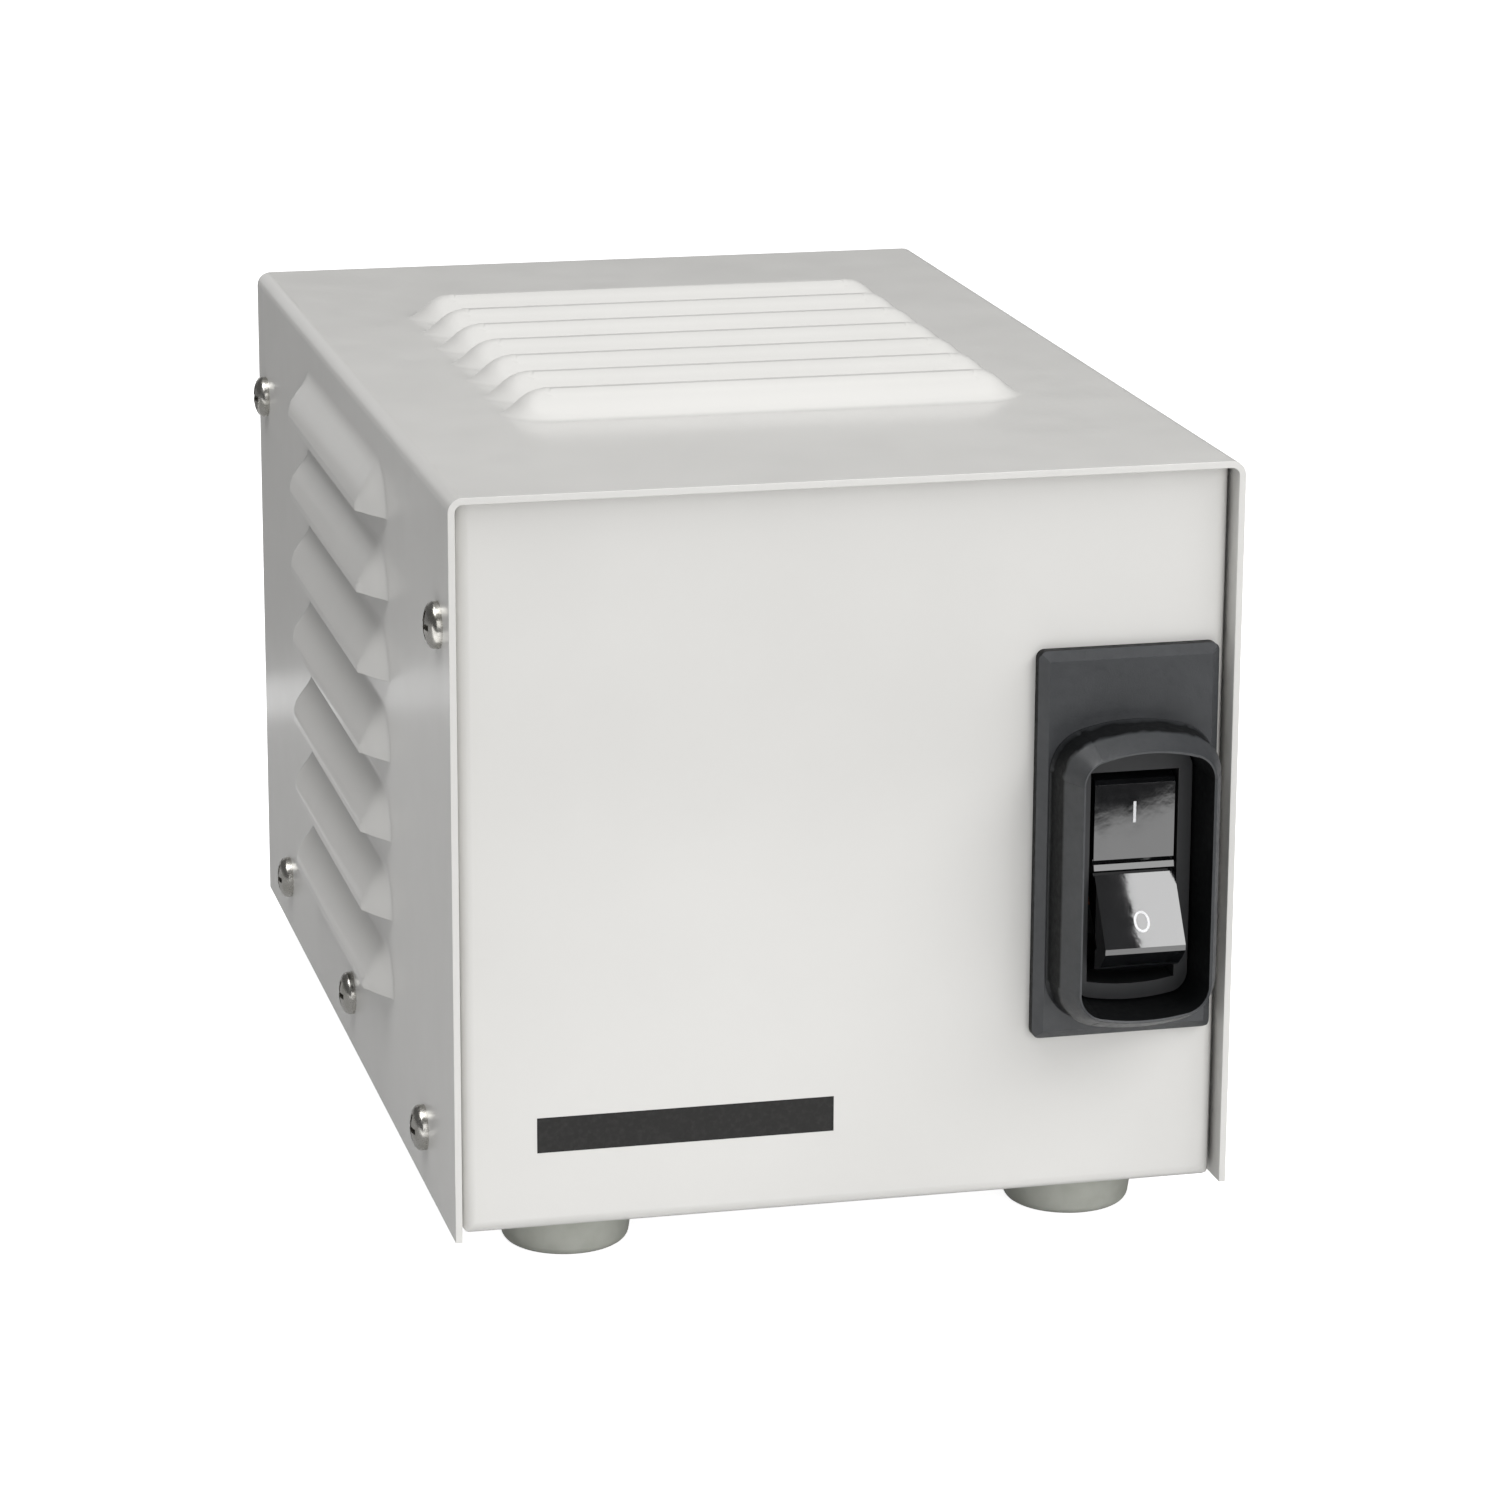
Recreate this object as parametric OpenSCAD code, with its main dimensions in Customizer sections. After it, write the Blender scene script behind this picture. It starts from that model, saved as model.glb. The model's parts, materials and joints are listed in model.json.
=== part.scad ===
// Isolation transformer in a louvred steel case, with a guarded rocker switch in front
// and a duplex outlet and cord gland behind. X to the right, front towards -Y, Z up,
// origin on the surface it stands on, under the middle of its length and width.

/* [Cover] */
// Height from the cover's bottom edge to its top face
cover_h = 132; // [126:1:150]
// Length from the front lip to the rear lip
cover_l = 218; // [212:1:250]
// Thickness of the cover's sheet
cover_t = 1.2; // [0.8:0.1:1.6]
// Outer radius of the cover's two bends
cover_bend_r = 2.6; // [2:0.1:5]

/* [Louvres] */
// Height of a louvre's open lip above the sheet
louvre_rise = 4.5; // [3:0.1:5]
// Distance from the lip to where the louvre runs out into the sheet
louvre_reach = 10; // [7:0.5:12]
// Overall length of a side louvre
side_louvre_len = 98; // [60:1:110]
// Overall length of a top louvre
top_louvre_len = 98; // [50:1:104]
// Louvres in each side
side_louvres = 7; // [3:1:7]
// Louvres in the top
top_louvres = 7; // [3:1:7]
// Distance between side louvres
side_louvre_pitch = 15; // [13:0.5:16]
// Distance between top louvres
top_louvre_pitch = 15.8; // [13:0.1:17]
// Height of the lowest side louvre's lip above the cover's bottom edge
side_louvre_low = 25; // [20:1:30]

/* [Chassis] */
// Thickness of the chassis sheet
pan_t = 1.5; // [1:0.1:2]
// Gap between the chassis and the cover all round
pan_gap = 0.5; // [0.3:0.1:1]
// Height of the chassis floor's underside above the cover's bottom edge
pan_lift = 0; // [0:0.1:2]
// Outer radius of the chassis bends
pan_bend_r = 2.5; // [2:0.1:4]
// How far the cover's lips stand past the front and rear panels
lip_overhang = 3; // [1:0.5:5]
// Depth of the panels' return flanges
panel_flange = 14; // [12:0.5:20]
// Height of the floor's upturned flanges
floor_flange = 17; // [16:0.5:24]

/* [Feet] */
// Radius of a foot at its top
foot_r = 12.3; // [10:0.1:14]
// Radius of a foot at its bottom
foot_low_r = 11.4; // [9:0.1:13]
// Height of a foot
foot_h = 8; // [7:0.5:14]
// Radius of a foot's rounded lower edge
foot_edge_r = 1.8; // [1:0.1:2.5]
// Distance of the feet from the cover's sides
foot_side = 23.5; // [20:0.5:35]
// Distance of the feet from the cover's lips
foot_inset = 21; // [18:0.5:24]

/* [Screws] */
// Radius of a cover screw's shank
screw_r = 2.05; // [1.8:0.05:2.3]
// Radius of a cover screw's head
screw_head_r = 4.1; // [3.5:0.1:4.6]
// Height of a cover screw's head
screw_head_h = 2.6; // [2:0.1:3]
// Length of a cover screw's shank
screw_len = 8; // [6:0.5:10]
// Distance of the upper cover screws from the lips
upper_screw_inset = 10; // [8.5:0.5:12]
// Height of the upper cover screws above the cover's bottom edge
upper_screw_rise = 108; // [90:1:115]
// Distance of the outer lower cover screws from the lips
lower_screw_inset = 30; // [26:1:50]
// Height of the lower cover screws above the cover's bottom edge
lower_screw_rise = 11; // [9:0.5:12]

/* [Switch guard] */
// Width of the guard's plate
plate_w = 32.8; // [32.2:0.2:38]
// Height of the guard's plate
plate_h = 70.4; // [66:0.2:78]
// Thickness of the guard's plate
plate_t = 3.5; // [3:0.1:4.5]
// Width of the bevel round the plate
plate_bevel = 1.6; // [0.8:0.1:2]
// Corner radius of the plate
plate_corner_r = 1.5; // [1:0.1:4]
// Height of the plate's lower edge above the cover's bottom edge
plate_rise = 29.3; // [24:0.1:36]
// Gap between the plate's right edge and the cover
plate_side_gap = 2.4; // [1.5:0.1:6]
// Half of the guard's clear width at its mouth
mouth_half_w = 11.8; // [11.6:0.1:12]
// Height of the guard's mouth
mouth_h = 48.7; // [48:0.1:51]
// Height of the mouth's lower edge above the plate's lower edge
mouth_rise = 6; // [5:0.1:8]
// How far the guard's rim stands out from the panel
rim_out = 14.5; // [13:0.1:17]

/* [Rocker switch] */
// Width of the rocker
rocker_w = 14.6; // [13:0.1:14.8]
// Length of each rocker face
rocker_face = 15.5; // [14:0.1:15.6]
// Angle that the rocker turns between on and off
rocker_travel = 33; // [20:1:34]
// Distance from the rocker's axle to the valley between its faces
rocker_valley = 6.5; // [6:0.1:7]
// How far the switch body reaches behind the panel
switch_depth = 30; // [29:0.5:40]

/* [Outlet] */
// Distance between the middles of the two outlet faces
outlet_pitch = 38.9; // [37:0.1:40]
// Radius of an outlet face
outlet_face_r = 17.4; // [16.5:0.1:17.8]
// Half the height between an outlet face's flats
outlet_flat = 14.3; // [13.5:0.1:14.8]
// How far the outlet faces stand out from the rear panel
outlet_out = 2.6; // [0.5:0.1:3]
// How far the outlet's mounting screws stand above and below its body
outlet_screw_past = 7.65; // [6.5:0.05:12]
// Radius of an outlet's ground socket
ground_socket_r = 2.65; // [2.5:0.05:2.8]
// Distance of the outlet's middle from the cover's side
outlet_side = 40; // [30:1:60]
// Height of the outlet's middle above the cover's bottom edge
outlet_rise = 68; // [62:1:76]

/* [Cord gland] */
// Radius of the gland's bore
gland_bore_r = 3.9; // [3:0.1:4.5]
// How far the gland stands out from the rear panel
gland_out = 8; // [5:0.5:12]
// Distance of the gland's middle from the cover's side
gland_side = 28; // [22:1:40]
// Height of the gland above the cover's bottom edge
gland_rise = 40; // [34:1:60]

/* [Transformer] */
// Width of the core
core_w = 114.3; // [100:0.1:136]
// Gap between the core and the chassis sides
core_side_gap = 9.65; // [8:0.05:20]
// Thickness of the lamination stack
stack = 44.5; // [38:0.5:50]
// Radius of a core bolt
core_bolt_r = 2.4; // [2:0.1:2.8]
// Thickness of the primary winding
primary_t = 6.4; // [5:0.1:7]
// Thickness of the secondary winding
secondary_t = 6.6; // [5:0.1:7]

/* [Hidden] */
$fn = 48;

// Common clearances and the overrun of every cut
over = 1;
bolt_gap = 0.1;
seat_gap = 0.3;
run_gap = 0.05;
mould_gap = 0.15;
arc_steps = 6;

// Levels and planes. Lengths along Y are counted from the middle of the cover.
pan_z = foot_h;
floor_z = pan_z + pan_t;
cover_z = pan_z - pan_lift;
cover_top_z = cover_z + cover_h;
cover_w = core_w + 2 * (core_side_gap + pan_t + pan_gap + cover_t);
cover_in_x = cover_w / 2 - cover_t;
pan_x = cover_in_x - pan_gap;
pan_in_x = pan_x - pan_t;
lip_y = cover_l / 2;
panel_y = lip_y - lip_overhang;
panel_top_z = cover_top_z - cover_t - pan_gap;
front_reach = rim_out - lip_overhang;
rear_reach = gland_out - lip_overhang;
frame_shift_y = (front_reach - rear_reach) / 2;

// Screw heads: shares of the head's height and radius
edge_share = 0.35;
recess_len_share = 1.25;
recess_w_share = 0.24;
recess_deep_share = 0.6;
head_steps = 5;

// Cover screws
cover_hole_gap = 0.25;

// Louvres
louvre_steps = 7;
louvre_in_steps = 4;
louvre_fullness = 1.5;
louvre_sink = 0.05;
louvre_seat = 0.7;
band_thin = 0.1;
strip_margin = 4;

// Feet
foot_pocket_r = 5.6;
foot_pocket_h = 4.4;
foot_screw_r = 2;
foot_head_r = 4;
foot_head_h = 2.4;
foot_hole_gap = 0.2;
nut_share = 1.9;
nut_h = 3.2;
tip_past = 1.5;

// Switch guard
mouth_shift = 0.4;
guard_arch_r = 30;
guard_foot_r = 40;
shoulder_r = 4.5;
heel_r = 5;
arch_steps = 8;
ledge_h = 3.8;
bezel_t = 1.6;
arm_w = 8;
arm_t = 1.3;
barb = 0.9;
barb_h = 3;
cut_gap = 0.3;

// Switch housing and rocker
ledge_in = 2.25;
wall_in = 2.4;
bezel_in = 1.3;
opening_half_w = 8;
opening_low = 10.2;
opening_high = 49;
opening_arch_r = 40;
pivot_v = 30;
rocker_proud = 0.3;
trunnion_r = 1.6;
trunnion_len = 1.9;
hub_r = 3.2;
rocker_tail = 92;
rocker_lip = 2.4;
rocker_thick = 5;
rocker_end_r = 35;
rocker_edge = 0.6;
rocker_top = ledge_h + bezel_t + rocker_proud;
rocker_tilt = rocker_travel / 2;
pivot_h = rocker_top - rocker_valley * cos(rocker_tilt);
rib_half = 0.55;
rib_high = 0.3;
groove_half = 1.35;
groove_deep = 0.8;
cavity_depth = 24;
barb_v = 11;
barb_len = 6;

// Plunger, spring and contact lever
plunger_r = 1;
plunger_reach = 10;
plunger_root = 1.5;
tip_share = 0.6;
tip_len_share = 0.8;
spring_wire_r = 0.25;
spring_turns = 5;
spring_r = 1.45;
lever_ratio = 0.46;
lever_tilt = rocker_tilt * lever_ratio;
lever_face = 0.8;
lever_back = 0.4;
lever_half = 10.5;
lever_valley = 2.6;
lever_crest = 3.6;
lever_knee = 5.4;
lever_w = 6;
lever_axle_r = 1;
lever_drop = plunger_reach + seat_gap + lever_face;
button_r = 1.7;
button_h = 1;
button_at = 8.8;
contact_r = 2;
contact_w = 4.4;
contact_base_h = 1.4;
terminal_w = 6.3;
terminal_t = 0.8;
terminal_len = 9;
terminal_x = 5;
terminal_v = 12;
terminal_hole_r = 0.9;

// Outlet
strap_t = 1.5;
strap_end = 6;
strap_w = 18;
face_base_t = 3;
face_base_edge = 0.25;
face_base_h = outlet_pitch + 2 * (outlet_flat + face_base_edge);
face_base_w = 33;
outlet_screw_pitch = face_base_h + 2 * outlet_screw_past;
outlet_x = outlet_side - cover_w / 2;
face_gap = 0.3;
outlet_body_depth = 25;
slot_x = 6.35;
slot_up = 4;
slot_t = 2;
line_slot = 6.9;
neutral_slot = 8.4;
ground_down = 7.9;
contact_wall = 1.1;
ground_grip = 0.3;
contact_len = 11;
pocket_gap = 0.15;
outlet_screw_r = 1.7;
outlet_head_r = 3.4;
outlet_head_h = 1.9;
side_screw_r = 1.9;
side_head_r = 3.6;
side_head_h = 2;
side_screw_len = 4;
side_screw_back = 9;
earth_screw_up = 27;

// Cord gland
gland_x = cover_w / 2 - gland_side;
gland_body_r = 7.4;
gland_flange_r = 10;
gland_flange_t = 2;
gland_nose_r = 6.4;
gland_in = 12;
gland_clip_r = 8.3;
gland_hole_gap = 0.15;

// Transformer, in the proportions of scrapless E and I laminations
leg = core_w / 6;
core_h = 5 * leg;
core_z = floor_z;
core_y = -2;
window_h = 3 * leg;
coil_gap = 0.4;
bobbin_t = 1.3;
flange_t = 1.4;
shield_t = 0.4;
wrap_t = 0.8;
winding_gap = 0.1;
wind_corner_r = 2;
bracket_t = 2;
bracket_foot = 14;
bracket_up = leg - coil_gap;
core_hole_r = core_bolt_r + bolt_gap;
washer_r = 5;
washer_t = 1;
bolt_head_h = 3;
bracket_screw_r = 2;
bracket_screw_side = 15.15;
bracket_screw_x = core_w / 2 - bracket_screw_side;
bracket_head_h = 2.2;

// Terminal block
block_x = 0;
block_front = 24;
block_y = block_front - panel_y;
block_w = 56;
block_d = 22;
block_base_h = 8;
block_wall_h = 15;
block_wall_t = 1.6;
block_ways = 6;
block_ear = 8;
way_screw_r = 1.6;
way_head_r = 3;
way_head_h = 2;
way_screw_len = 5;
way_row = 5.5;
block_screw_r = 1.6;

// Surge board
board_side = 21.8;
board_back = 43;
board_w = 46;
board_x = pan_in_x - board_side - board_w / 2;
board_y = panel_y - board_back;
board_d = 26;
board_t = 1.6;
board_lift = 7;
standoff_r = 2.8;
board_screw_r = 1.4;
board_head_r = 2.6;
board_head_h = 1.7;
board_edge = 4;
varistor_r = 5;
varistor_t = 4;
varistor_pitch = 7;
varistor_up = 1.2;
lead_r = 0.4;
lead_half = 2.5;
cap_w = 14;
cap_d = 8;
cap_h = 11;

// Earth stud
earth_side = 14.8;
earth_back = 46;
earth_x = earth_side - pan_in_x;
earth_y = panel_y - earth_back;
earth_r = 2;
earth_h = 13;
earth_flange_r = 4;
earth_flange_t = 1.5;
ring_r = 4.2;
ring_t = 0.8;
ring_count = 2;
ring_turn = 40;
ring_tail = 11;
ring_tail_w = 3.4;

// Colours
paint = [0.84, 0.83, 0.81];
rubber_grey = [0.6, 0.61, 0.57];
plated = [0.75, 0.75, 0.74];
black = [0.1, 0.1, 0.11];
plate_black = [0.25, 0.26, 0.27];
brass = [0.8, 0.65, 0.3];
copper = [0.72, 0.4, 0.22];
core_grey = [0.35, 0.36, 0.38];
nylon = [0.9, 0.88, 0.8];
tape = [0.85, 0.75, 0.35];
board_green = [0.1, 0.4, 0.2];
blue = [0.15, 0.3, 0.6];

// Points on an arc, from angle a0 to a1
function arc(cx, cy, r, a0, a1, n) =
    [for (i = [0:n]) let (a = a0 + (a1 - a0) * i / n) [cx + r * cos(a), cy + r * sin(a)]];

// A rectangle about the origin with rounded corners
function rounded(w, h, r) = concat(
    arc(w / 2 - r, h / 2 - r, r, 0, 90, arc_steps),
    arc(r - w / 2, h / 2 - r, r, 90, 180, arc_steps),
    arc(r - w / 2, r - h / 2, r, 180, 270, arc_steps),
    arc(w / 2 - r, r - h / 2, r, 270, 360, arc_steps));

// Half-profile of a pan-head screw: head above zero, shank below
function screw_profile(hr, hh, sr, sl) = concat(
    [[0, -sl], [sr, -sl], [sr, 0], [hr, 0], [hr, hh * edge_share]],
    [for (i = [1:head_steps]) let (a = 90 * i / head_steps)
        [hr * cos(a), hh * (edge_share + (1 - edge_share) * sin(a))]]);

module in_frame() {
    translate([0, frame_shift_y, 0]) children();
}

// Extrudes an X-Z outline along Y
module along_y(y0, len) {
    translate([0, y0 + len, 0]) rotate([90, 0, 0]) linear_extrude(height = len) children();
}

// Extrudes a Y-Z outline along X
module along_x(x0, len) {
    translate([x0, 0, 0]) rotate([90, 0, 90]) linear_extrude(height = len) children();
}

module pan_screw(hr, hh, sr, sl) {
    difference() {
        rotate_extrude() polygon(screw_profile(hr, hh, sr, sl));
        for (turn = [0, 90])
            rotate([0, 0, turn])
                translate([-hr * recess_len_share / 2, -hr * recess_w_share / 2,
                           hh * (1 - recess_deep_share)])
                    cube([hr * recess_len_share, hr * recess_w_share, hh]);
    }
}

module hex_nut(r, h) {
    difference() {
        cylinder(r = r * nut_share, h = h, $fn = 6);
        translate([0, 0, -over]) cylinder(r = r + run_gap, h = h + 2 * over);
    }
}

module washer(r_out, r_in, h) {
    difference() {
        cylinder(r = r_out, h = h);
        translate([0, 0, -over]) cylinder(r = r_in, h = h + 2 * over);
    }
}

// Places of the side screws: [distance behind the front lip, height]
upper_screws = [for (y = [-lip_y + upper_screw_inset, lip_y - upper_screw_inset])
    [y, cover_z + upper_screw_rise]];
lower_screws = [for (y = [-lip_y + lower_screw_inset, 0, lip_y - lower_screw_inset])
    [y, cover_z + lower_screw_rise]];
side_screws = concat(upper_screws, lower_screws);

module at_side_screws() {
    for (side = [-1, 1])
        for (p = side_screws)
            translate([side * cover_w / 2, p[0], p[1]]) rotate([0, side * 90, 0]) children();
}

// Cover

cover_outline = concat(
    [[cover_w / 2, 0]],
    arc(cover_w / 2 - cover_bend_r, cover_h - cover_bend_r, cover_bend_r, 0, 90, arc_steps),
    arc(cover_bend_r - cover_w / 2, cover_h - cover_bend_r, cover_bend_r, 90, 180, arc_steps),
    [[-cover_w / 2, 0], [cover_t - cover_w / 2, 0]],
    arc(cover_bend_r - cover_w / 2, cover_h - cover_bend_r, cover_bend_r - cover_t, 180, 90, arc_steps),
    arc(cover_w / 2 - cover_bend_r, cover_h - cover_bend_r, cover_bend_r - cover_t, 90, 0, arc_steps),
    [[cover_w / 2 - cover_t, 0]]);

// Height of the louvre's outer skin at distance r from its lip
function louvre_skin(r) =
    (louvre_rise + louvre_sink) * (1 + cos(180 * pow(r / louvre_reach, louvre_fullness))) / 2
    - louvre_sink;

// Section from the lip to the foot. The inner skin has fewer steps.
louvre_band = let (t = cover_t - band_thin) concat(
    [for (i = [0:louvre_steps]) let (r = louvre_reach * i / louvre_steps) [r, louvre_skin(r)]],
    [for (i = [louvre_in_steps:-1:0]) let (r = louvre_reach * i / louvre_in_steps) [r, louvre_skin(r) - t]]);

// Pressed hood: lip along X at the origin, mouth towards -Y, rising towards +Z
module louvre_hood(len) {
    straight = len - 2 * louvre_reach;
    along_x(-straight / 2, straight) polygon(louvre_band);
    translate([straight / 2, 0, 0]) rotate_extrude(angle = 90) polygon(louvre_band);
    translate([-straight / 2, 0, 0]) rotate([0, 0, 90]) rotate_extrude(angle = 90) polygon(louvre_band);
}

// The slit in the sheet under a hood
module louvre_slit(len) {
    straight = len - 2 * louvre_reach;
    r = louvre_reach - louvre_seat;
    translate([0, 0, -cover_t - over])
        linear_extrude(height = cover_t + 2 * over)
            polygon(concat(
                arc(straight / 2, 0, r, 0, 90, louvre_steps),
                arc(-straight / 2, 0, r, 90, 180, louvre_steps)));
}

module at_side_louvres() {
    for (side = [-1, 1])
        for (i = [0:side_louvres - 1])
            translate([side * cover_w / 2, 0, cover_z + side_louvre_low + i * side_louvre_pitch])
                rotate([90, 0, side * 90]) children();
}

module at_top_louvres() {
    for (i = [0:top_louvres - 1])
        translate([0, (i - (top_louvres - 1) / 2) * top_louvre_pitch + louvre_reach / 2, cover_top_z])
            rotate([0, 0, 180]) children();
}

// A strip of the wall, one pitch wide, with its slit and its hood
module louvre_strip(len, pitch) {
    difference() {
        louvre_slab(len, pitch, 0);
        louvre_slit(len);
    }
    louvre_hood(len);
}

module louvre_slab(len, pitch, gap) {
    translate([-len / 2 - strip_margin, (louvre_reach - pitch) / 2, -cover_t - gap])
        cube([len + 2 * strip_margin, pitch, cover_t + 2 * gap]);
}

module wrap_cover() color(paint) in_frame() {
    difference() {
        translate([0, 0, cover_z]) along_y(-lip_y, cover_l) polygon(cover_outline);
        at_side_louvres() louvre_slab(side_louvre_len, side_louvre_pitch, over);
        at_top_louvres() louvre_slab(top_louvre_len, top_louvre_pitch, over);
        at_side_screws()
            translate([0, 0, -cover_t - over])
                cylinder(r = screw_r + cover_hole_gap, h = cover_t + 2 * over);
    }
    at_side_louvres() louvre_strip(side_louvre_len, side_louvre_pitch);
    at_top_louvres() louvre_strip(top_louvre_len, top_louvre_pitch);
}

// Chassis

// Upright outline of the tray, drawn in all round by t, with its two lower corners rounded
function tray_side(half, t, top) = let (r = pan_bend_r - t) concat(
    [[half, top], [-half, top]],
    arc(r - half, pan_z + t + r, r, 180, 270, arc_steps),
    arc(half - r, pan_z + t + r, r, 270, 360, arc_steps));

// Solid with the tray's rounded edges, drawn in all round by t
module tray_block(t, top) {
    intersection() {
        translate([0, 0, pan_z + t]) linear_extrude(height = top - pan_z - t)
            polygon(rounded(2 * (pan_x - t), 2 * (panel_y - t), pan_bend_r - t));
        along_y(-panel_y, 2 * panel_y) polygon(tray_side(pan_x - t, t, top));
        along_x(-pan_x, 2 * pan_x) polygon(tray_side(panel_y - t, t, top));
    }
}

// What is cut from the tray's sides to leave the panels' and the floor's flanges
module side_openings() {
    translate([-pan_x - over, panel_flange - panel_y, pan_z + floor_flange])
        cube([2 * (pan_x + over), 2 * (panel_y - panel_flange), panel_top_z - pan_z]);
}

// Places of the feet
foot_y = lip_y - foot_inset;
foot_x = cover_w / 2 - foot_side;
foot_places = [for (y = [-foot_y, foot_y]) for (x = [-foot_x, foot_x]) [x, y]];

// Places of the bracket screws
bracket_screw_y = stack / 2 + bracket_t + bracket_foot / 2;
bracket_screws_at = [for (y = [core_y - bracket_screw_y, core_y + bracket_screw_y])
    for (x = [-bracket_screw_x, bracket_screw_x]) [x, y]];

// Places of the terminal block's fixing screws and the board's standoffs
block_hole_x = block_w / 2 + block_ear / 2;
block_screws_at = [for (x = [block_x - block_hole_x, block_x + block_hole_x]) [x, block_y]];
board_holes = [for (y = [-1, 1]) for (x = [-1, 1])
    [board_x + x * (board_w / 2 - board_edge), board_y + y * (board_d / 2 - board_edge)]];

module floor_hole(p, r) {
    translate([p[0], p[1], pan_z - over]) cylinder(r = r, h = pan_t + 2 * over);
}

module base_chassis() color(paint) in_frame() {
    difference() {
        tray_block(0, panel_top_z);
        tray_block(pan_t, panel_top_z + over);
        side_openings();
        at_side_screws()
            translate([0, 0, -screw_len - over]) cylinder(r = screw_r + run_gap, h = screw_len + over);
        for (p = foot_places) floor_hole(p, foot_screw_r + foot_hole_gap);
        for (p = bracket_screws_at) floor_hole(p, bracket_screw_r + bolt_gap);
        for (p = block_screws_at) floor_hole(p, block_screw_r + run_gap);
        for (p = board_holes) floor_hole(p, board_screw_r + bolt_gap);
        on_front() panel_cut();
        on_rear() outlet_cuts();
        translate([gland_x, panel_y + over, cover_z + gland_rise]) rotate([90, 0, 0])
            cylinder(r = gland_body_r + gland_hole_gap, h = pan_t + 2 * over);
    }
}

// Feet and their screws

module foot(p) color(rubber_grey) in_frame() translate([p[0], p[1], 0]) {
    rotate_extrude() polygon(concat(
        [[foot_screw_r + foot_hole_gap, foot_h], [foot_screw_r + foot_hole_gap, foot_pocket_h],
         [foot_pocket_r, foot_pocket_h], [foot_pocket_r, 0]],
        arc(foot_low_r - foot_edge_r, foot_edge_r, foot_edge_r, 270, 350, arc_steps),
        [[foot_r, foot_h]]));
}

module foot_front_left() foot(foot_places[0]);
module foot_front_right() foot(foot_places[1]);
module foot_rear_left() foot(foot_places[2]);
module foot_rear_right() foot(foot_places[3]);

module foot_screws() color(plated) in_frame() {
    for (p = foot_places)
        translate([p[0], p[1], foot_pocket_h]) rotate([180, 0, 0])
            pan_screw(foot_head_r, foot_head_h, foot_screw_r,
                      floor_z + nut_h + tip_past - foot_pocket_h);
}

module foot_nuts() color(plated) in_frame() {
    for (p = foot_places) translate([p[0], p[1], floor_z]) hex_nut(foot_screw_r, nut_h);
}

module cover_screws() color(plated) in_frame() {
    at_side_screws() pan_screw(screw_head_r, screw_head_h, screw_r, screw_len);
}

// Switch. Local frame: X to the right, Y up the panel, Z out of the panel's front face,
// origin at the height of the plate's lower edge, on the mouth's middle line.

switch_x = cover_in_x - plate_side_gap - plate_w / 2 + mouth_shift;

module on_front() {
    translate([switch_x, -panel_y, cover_z + plate_rise]) rotate([90, 0, 0]) children();
}

// Centres of the guard's arcs and the angles at which they meet: top arch, foot arch,
// shoulders and heels
top_c = mouth_rise + mouth_h - guard_arch_r;
low_c = mouth_rise + guard_foot_r;
sx = mouth_half_w - shoulder_r;
sy = top_c + sqrt(pow(guard_arch_r - shoulder_r, 2) - sx * sx);
sa = atan2(sy - top_c, sx);
hx = mouth_half_w - heel_r;
hy = low_c - sqrt(pow(guard_foot_r - heel_r, 2) - hx * hx);
ha = atan2(low_c - hy, hx);

// The guard's arched outline, moved outwards by off
function guard_outline(off) = concat(
    arc(sx, sy, shoulder_r + off, 0, sa, arc_steps),
    [for (i = [1:arch_steps - 1]) let (a = sa + (180 - 2 * sa) * i / arch_steps)
        [(guard_arch_r + off) * cos(a), top_c + (guard_arch_r + off) * sin(a)]],
    arc(-sx, sy, shoulder_r + off, 180 - sa, 180, arc_steps),
    arc(-hx, hy, heel_r + off, 180, 180 + ha, arc_steps),
    [for (i = [1:arch_steps - 1]) let (a = 180 + ha + (180 - 2 * ha) * i / arch_steps)
        [(guard_foot_r + off) * cos(a), low_c + (guard_foot_r + off) * sin(a)]],
    arc(hx, hy, heel_r + off, 360 - ha, 360, arc_steps));

// Section through the guard's rim: [offset from the mouth's outline, height above the panel]
rim_base = 3.2;
rim_shoulder = 2.6;
rim_shoulder_h = 9.5;
rim_foot_fillet = 1.1;
rim_root_h = 0.2;
rim_root = 2;
rim_edge = 0.35;
rim_draft = 1.15;
corner_inset = 0.03;
corner_lap = 4;

// The section, drawn in all round by e
function rim_section(e) = [
    [rim_root - e, rim_root_h + e],
    [rim_base - e, plate_t - rim_root_h + e],
    [rim_base - e, plate_t + rim_edge - e],
    [rim_base - rim_edge - e, plate_t + rim_foot_fillet - e],
    [rim_shoulder - e, rim_shoulder_h - e],
    [rim_shoulder - rim_edge - e, rim_shoulder_h + 2 * rim_edge - e],
    [rim_edge - e, rim_out - rim_edge / 2 - e],
    [rim_edge / 2, rim_out - 2 * e],
    [-rim_edge / 2 + e, rim_out - rim_edge / 2 - e],
    [-rim_draft + e, ledge_h - e],
    [-ledge_in + e, ledge_h - e],
    [-ledge_in + e, rim_root_h + e]];

module rim_arc(cx, cy, r, a0, a1, e) {
    translate([cx, cy, 0]) rotate([0, 0, a0]) rotate_extrude(angle = a1 - a0)
        polygon([for (s = rim_section(e)) [r + s[0], s[1]]]);
}

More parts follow.
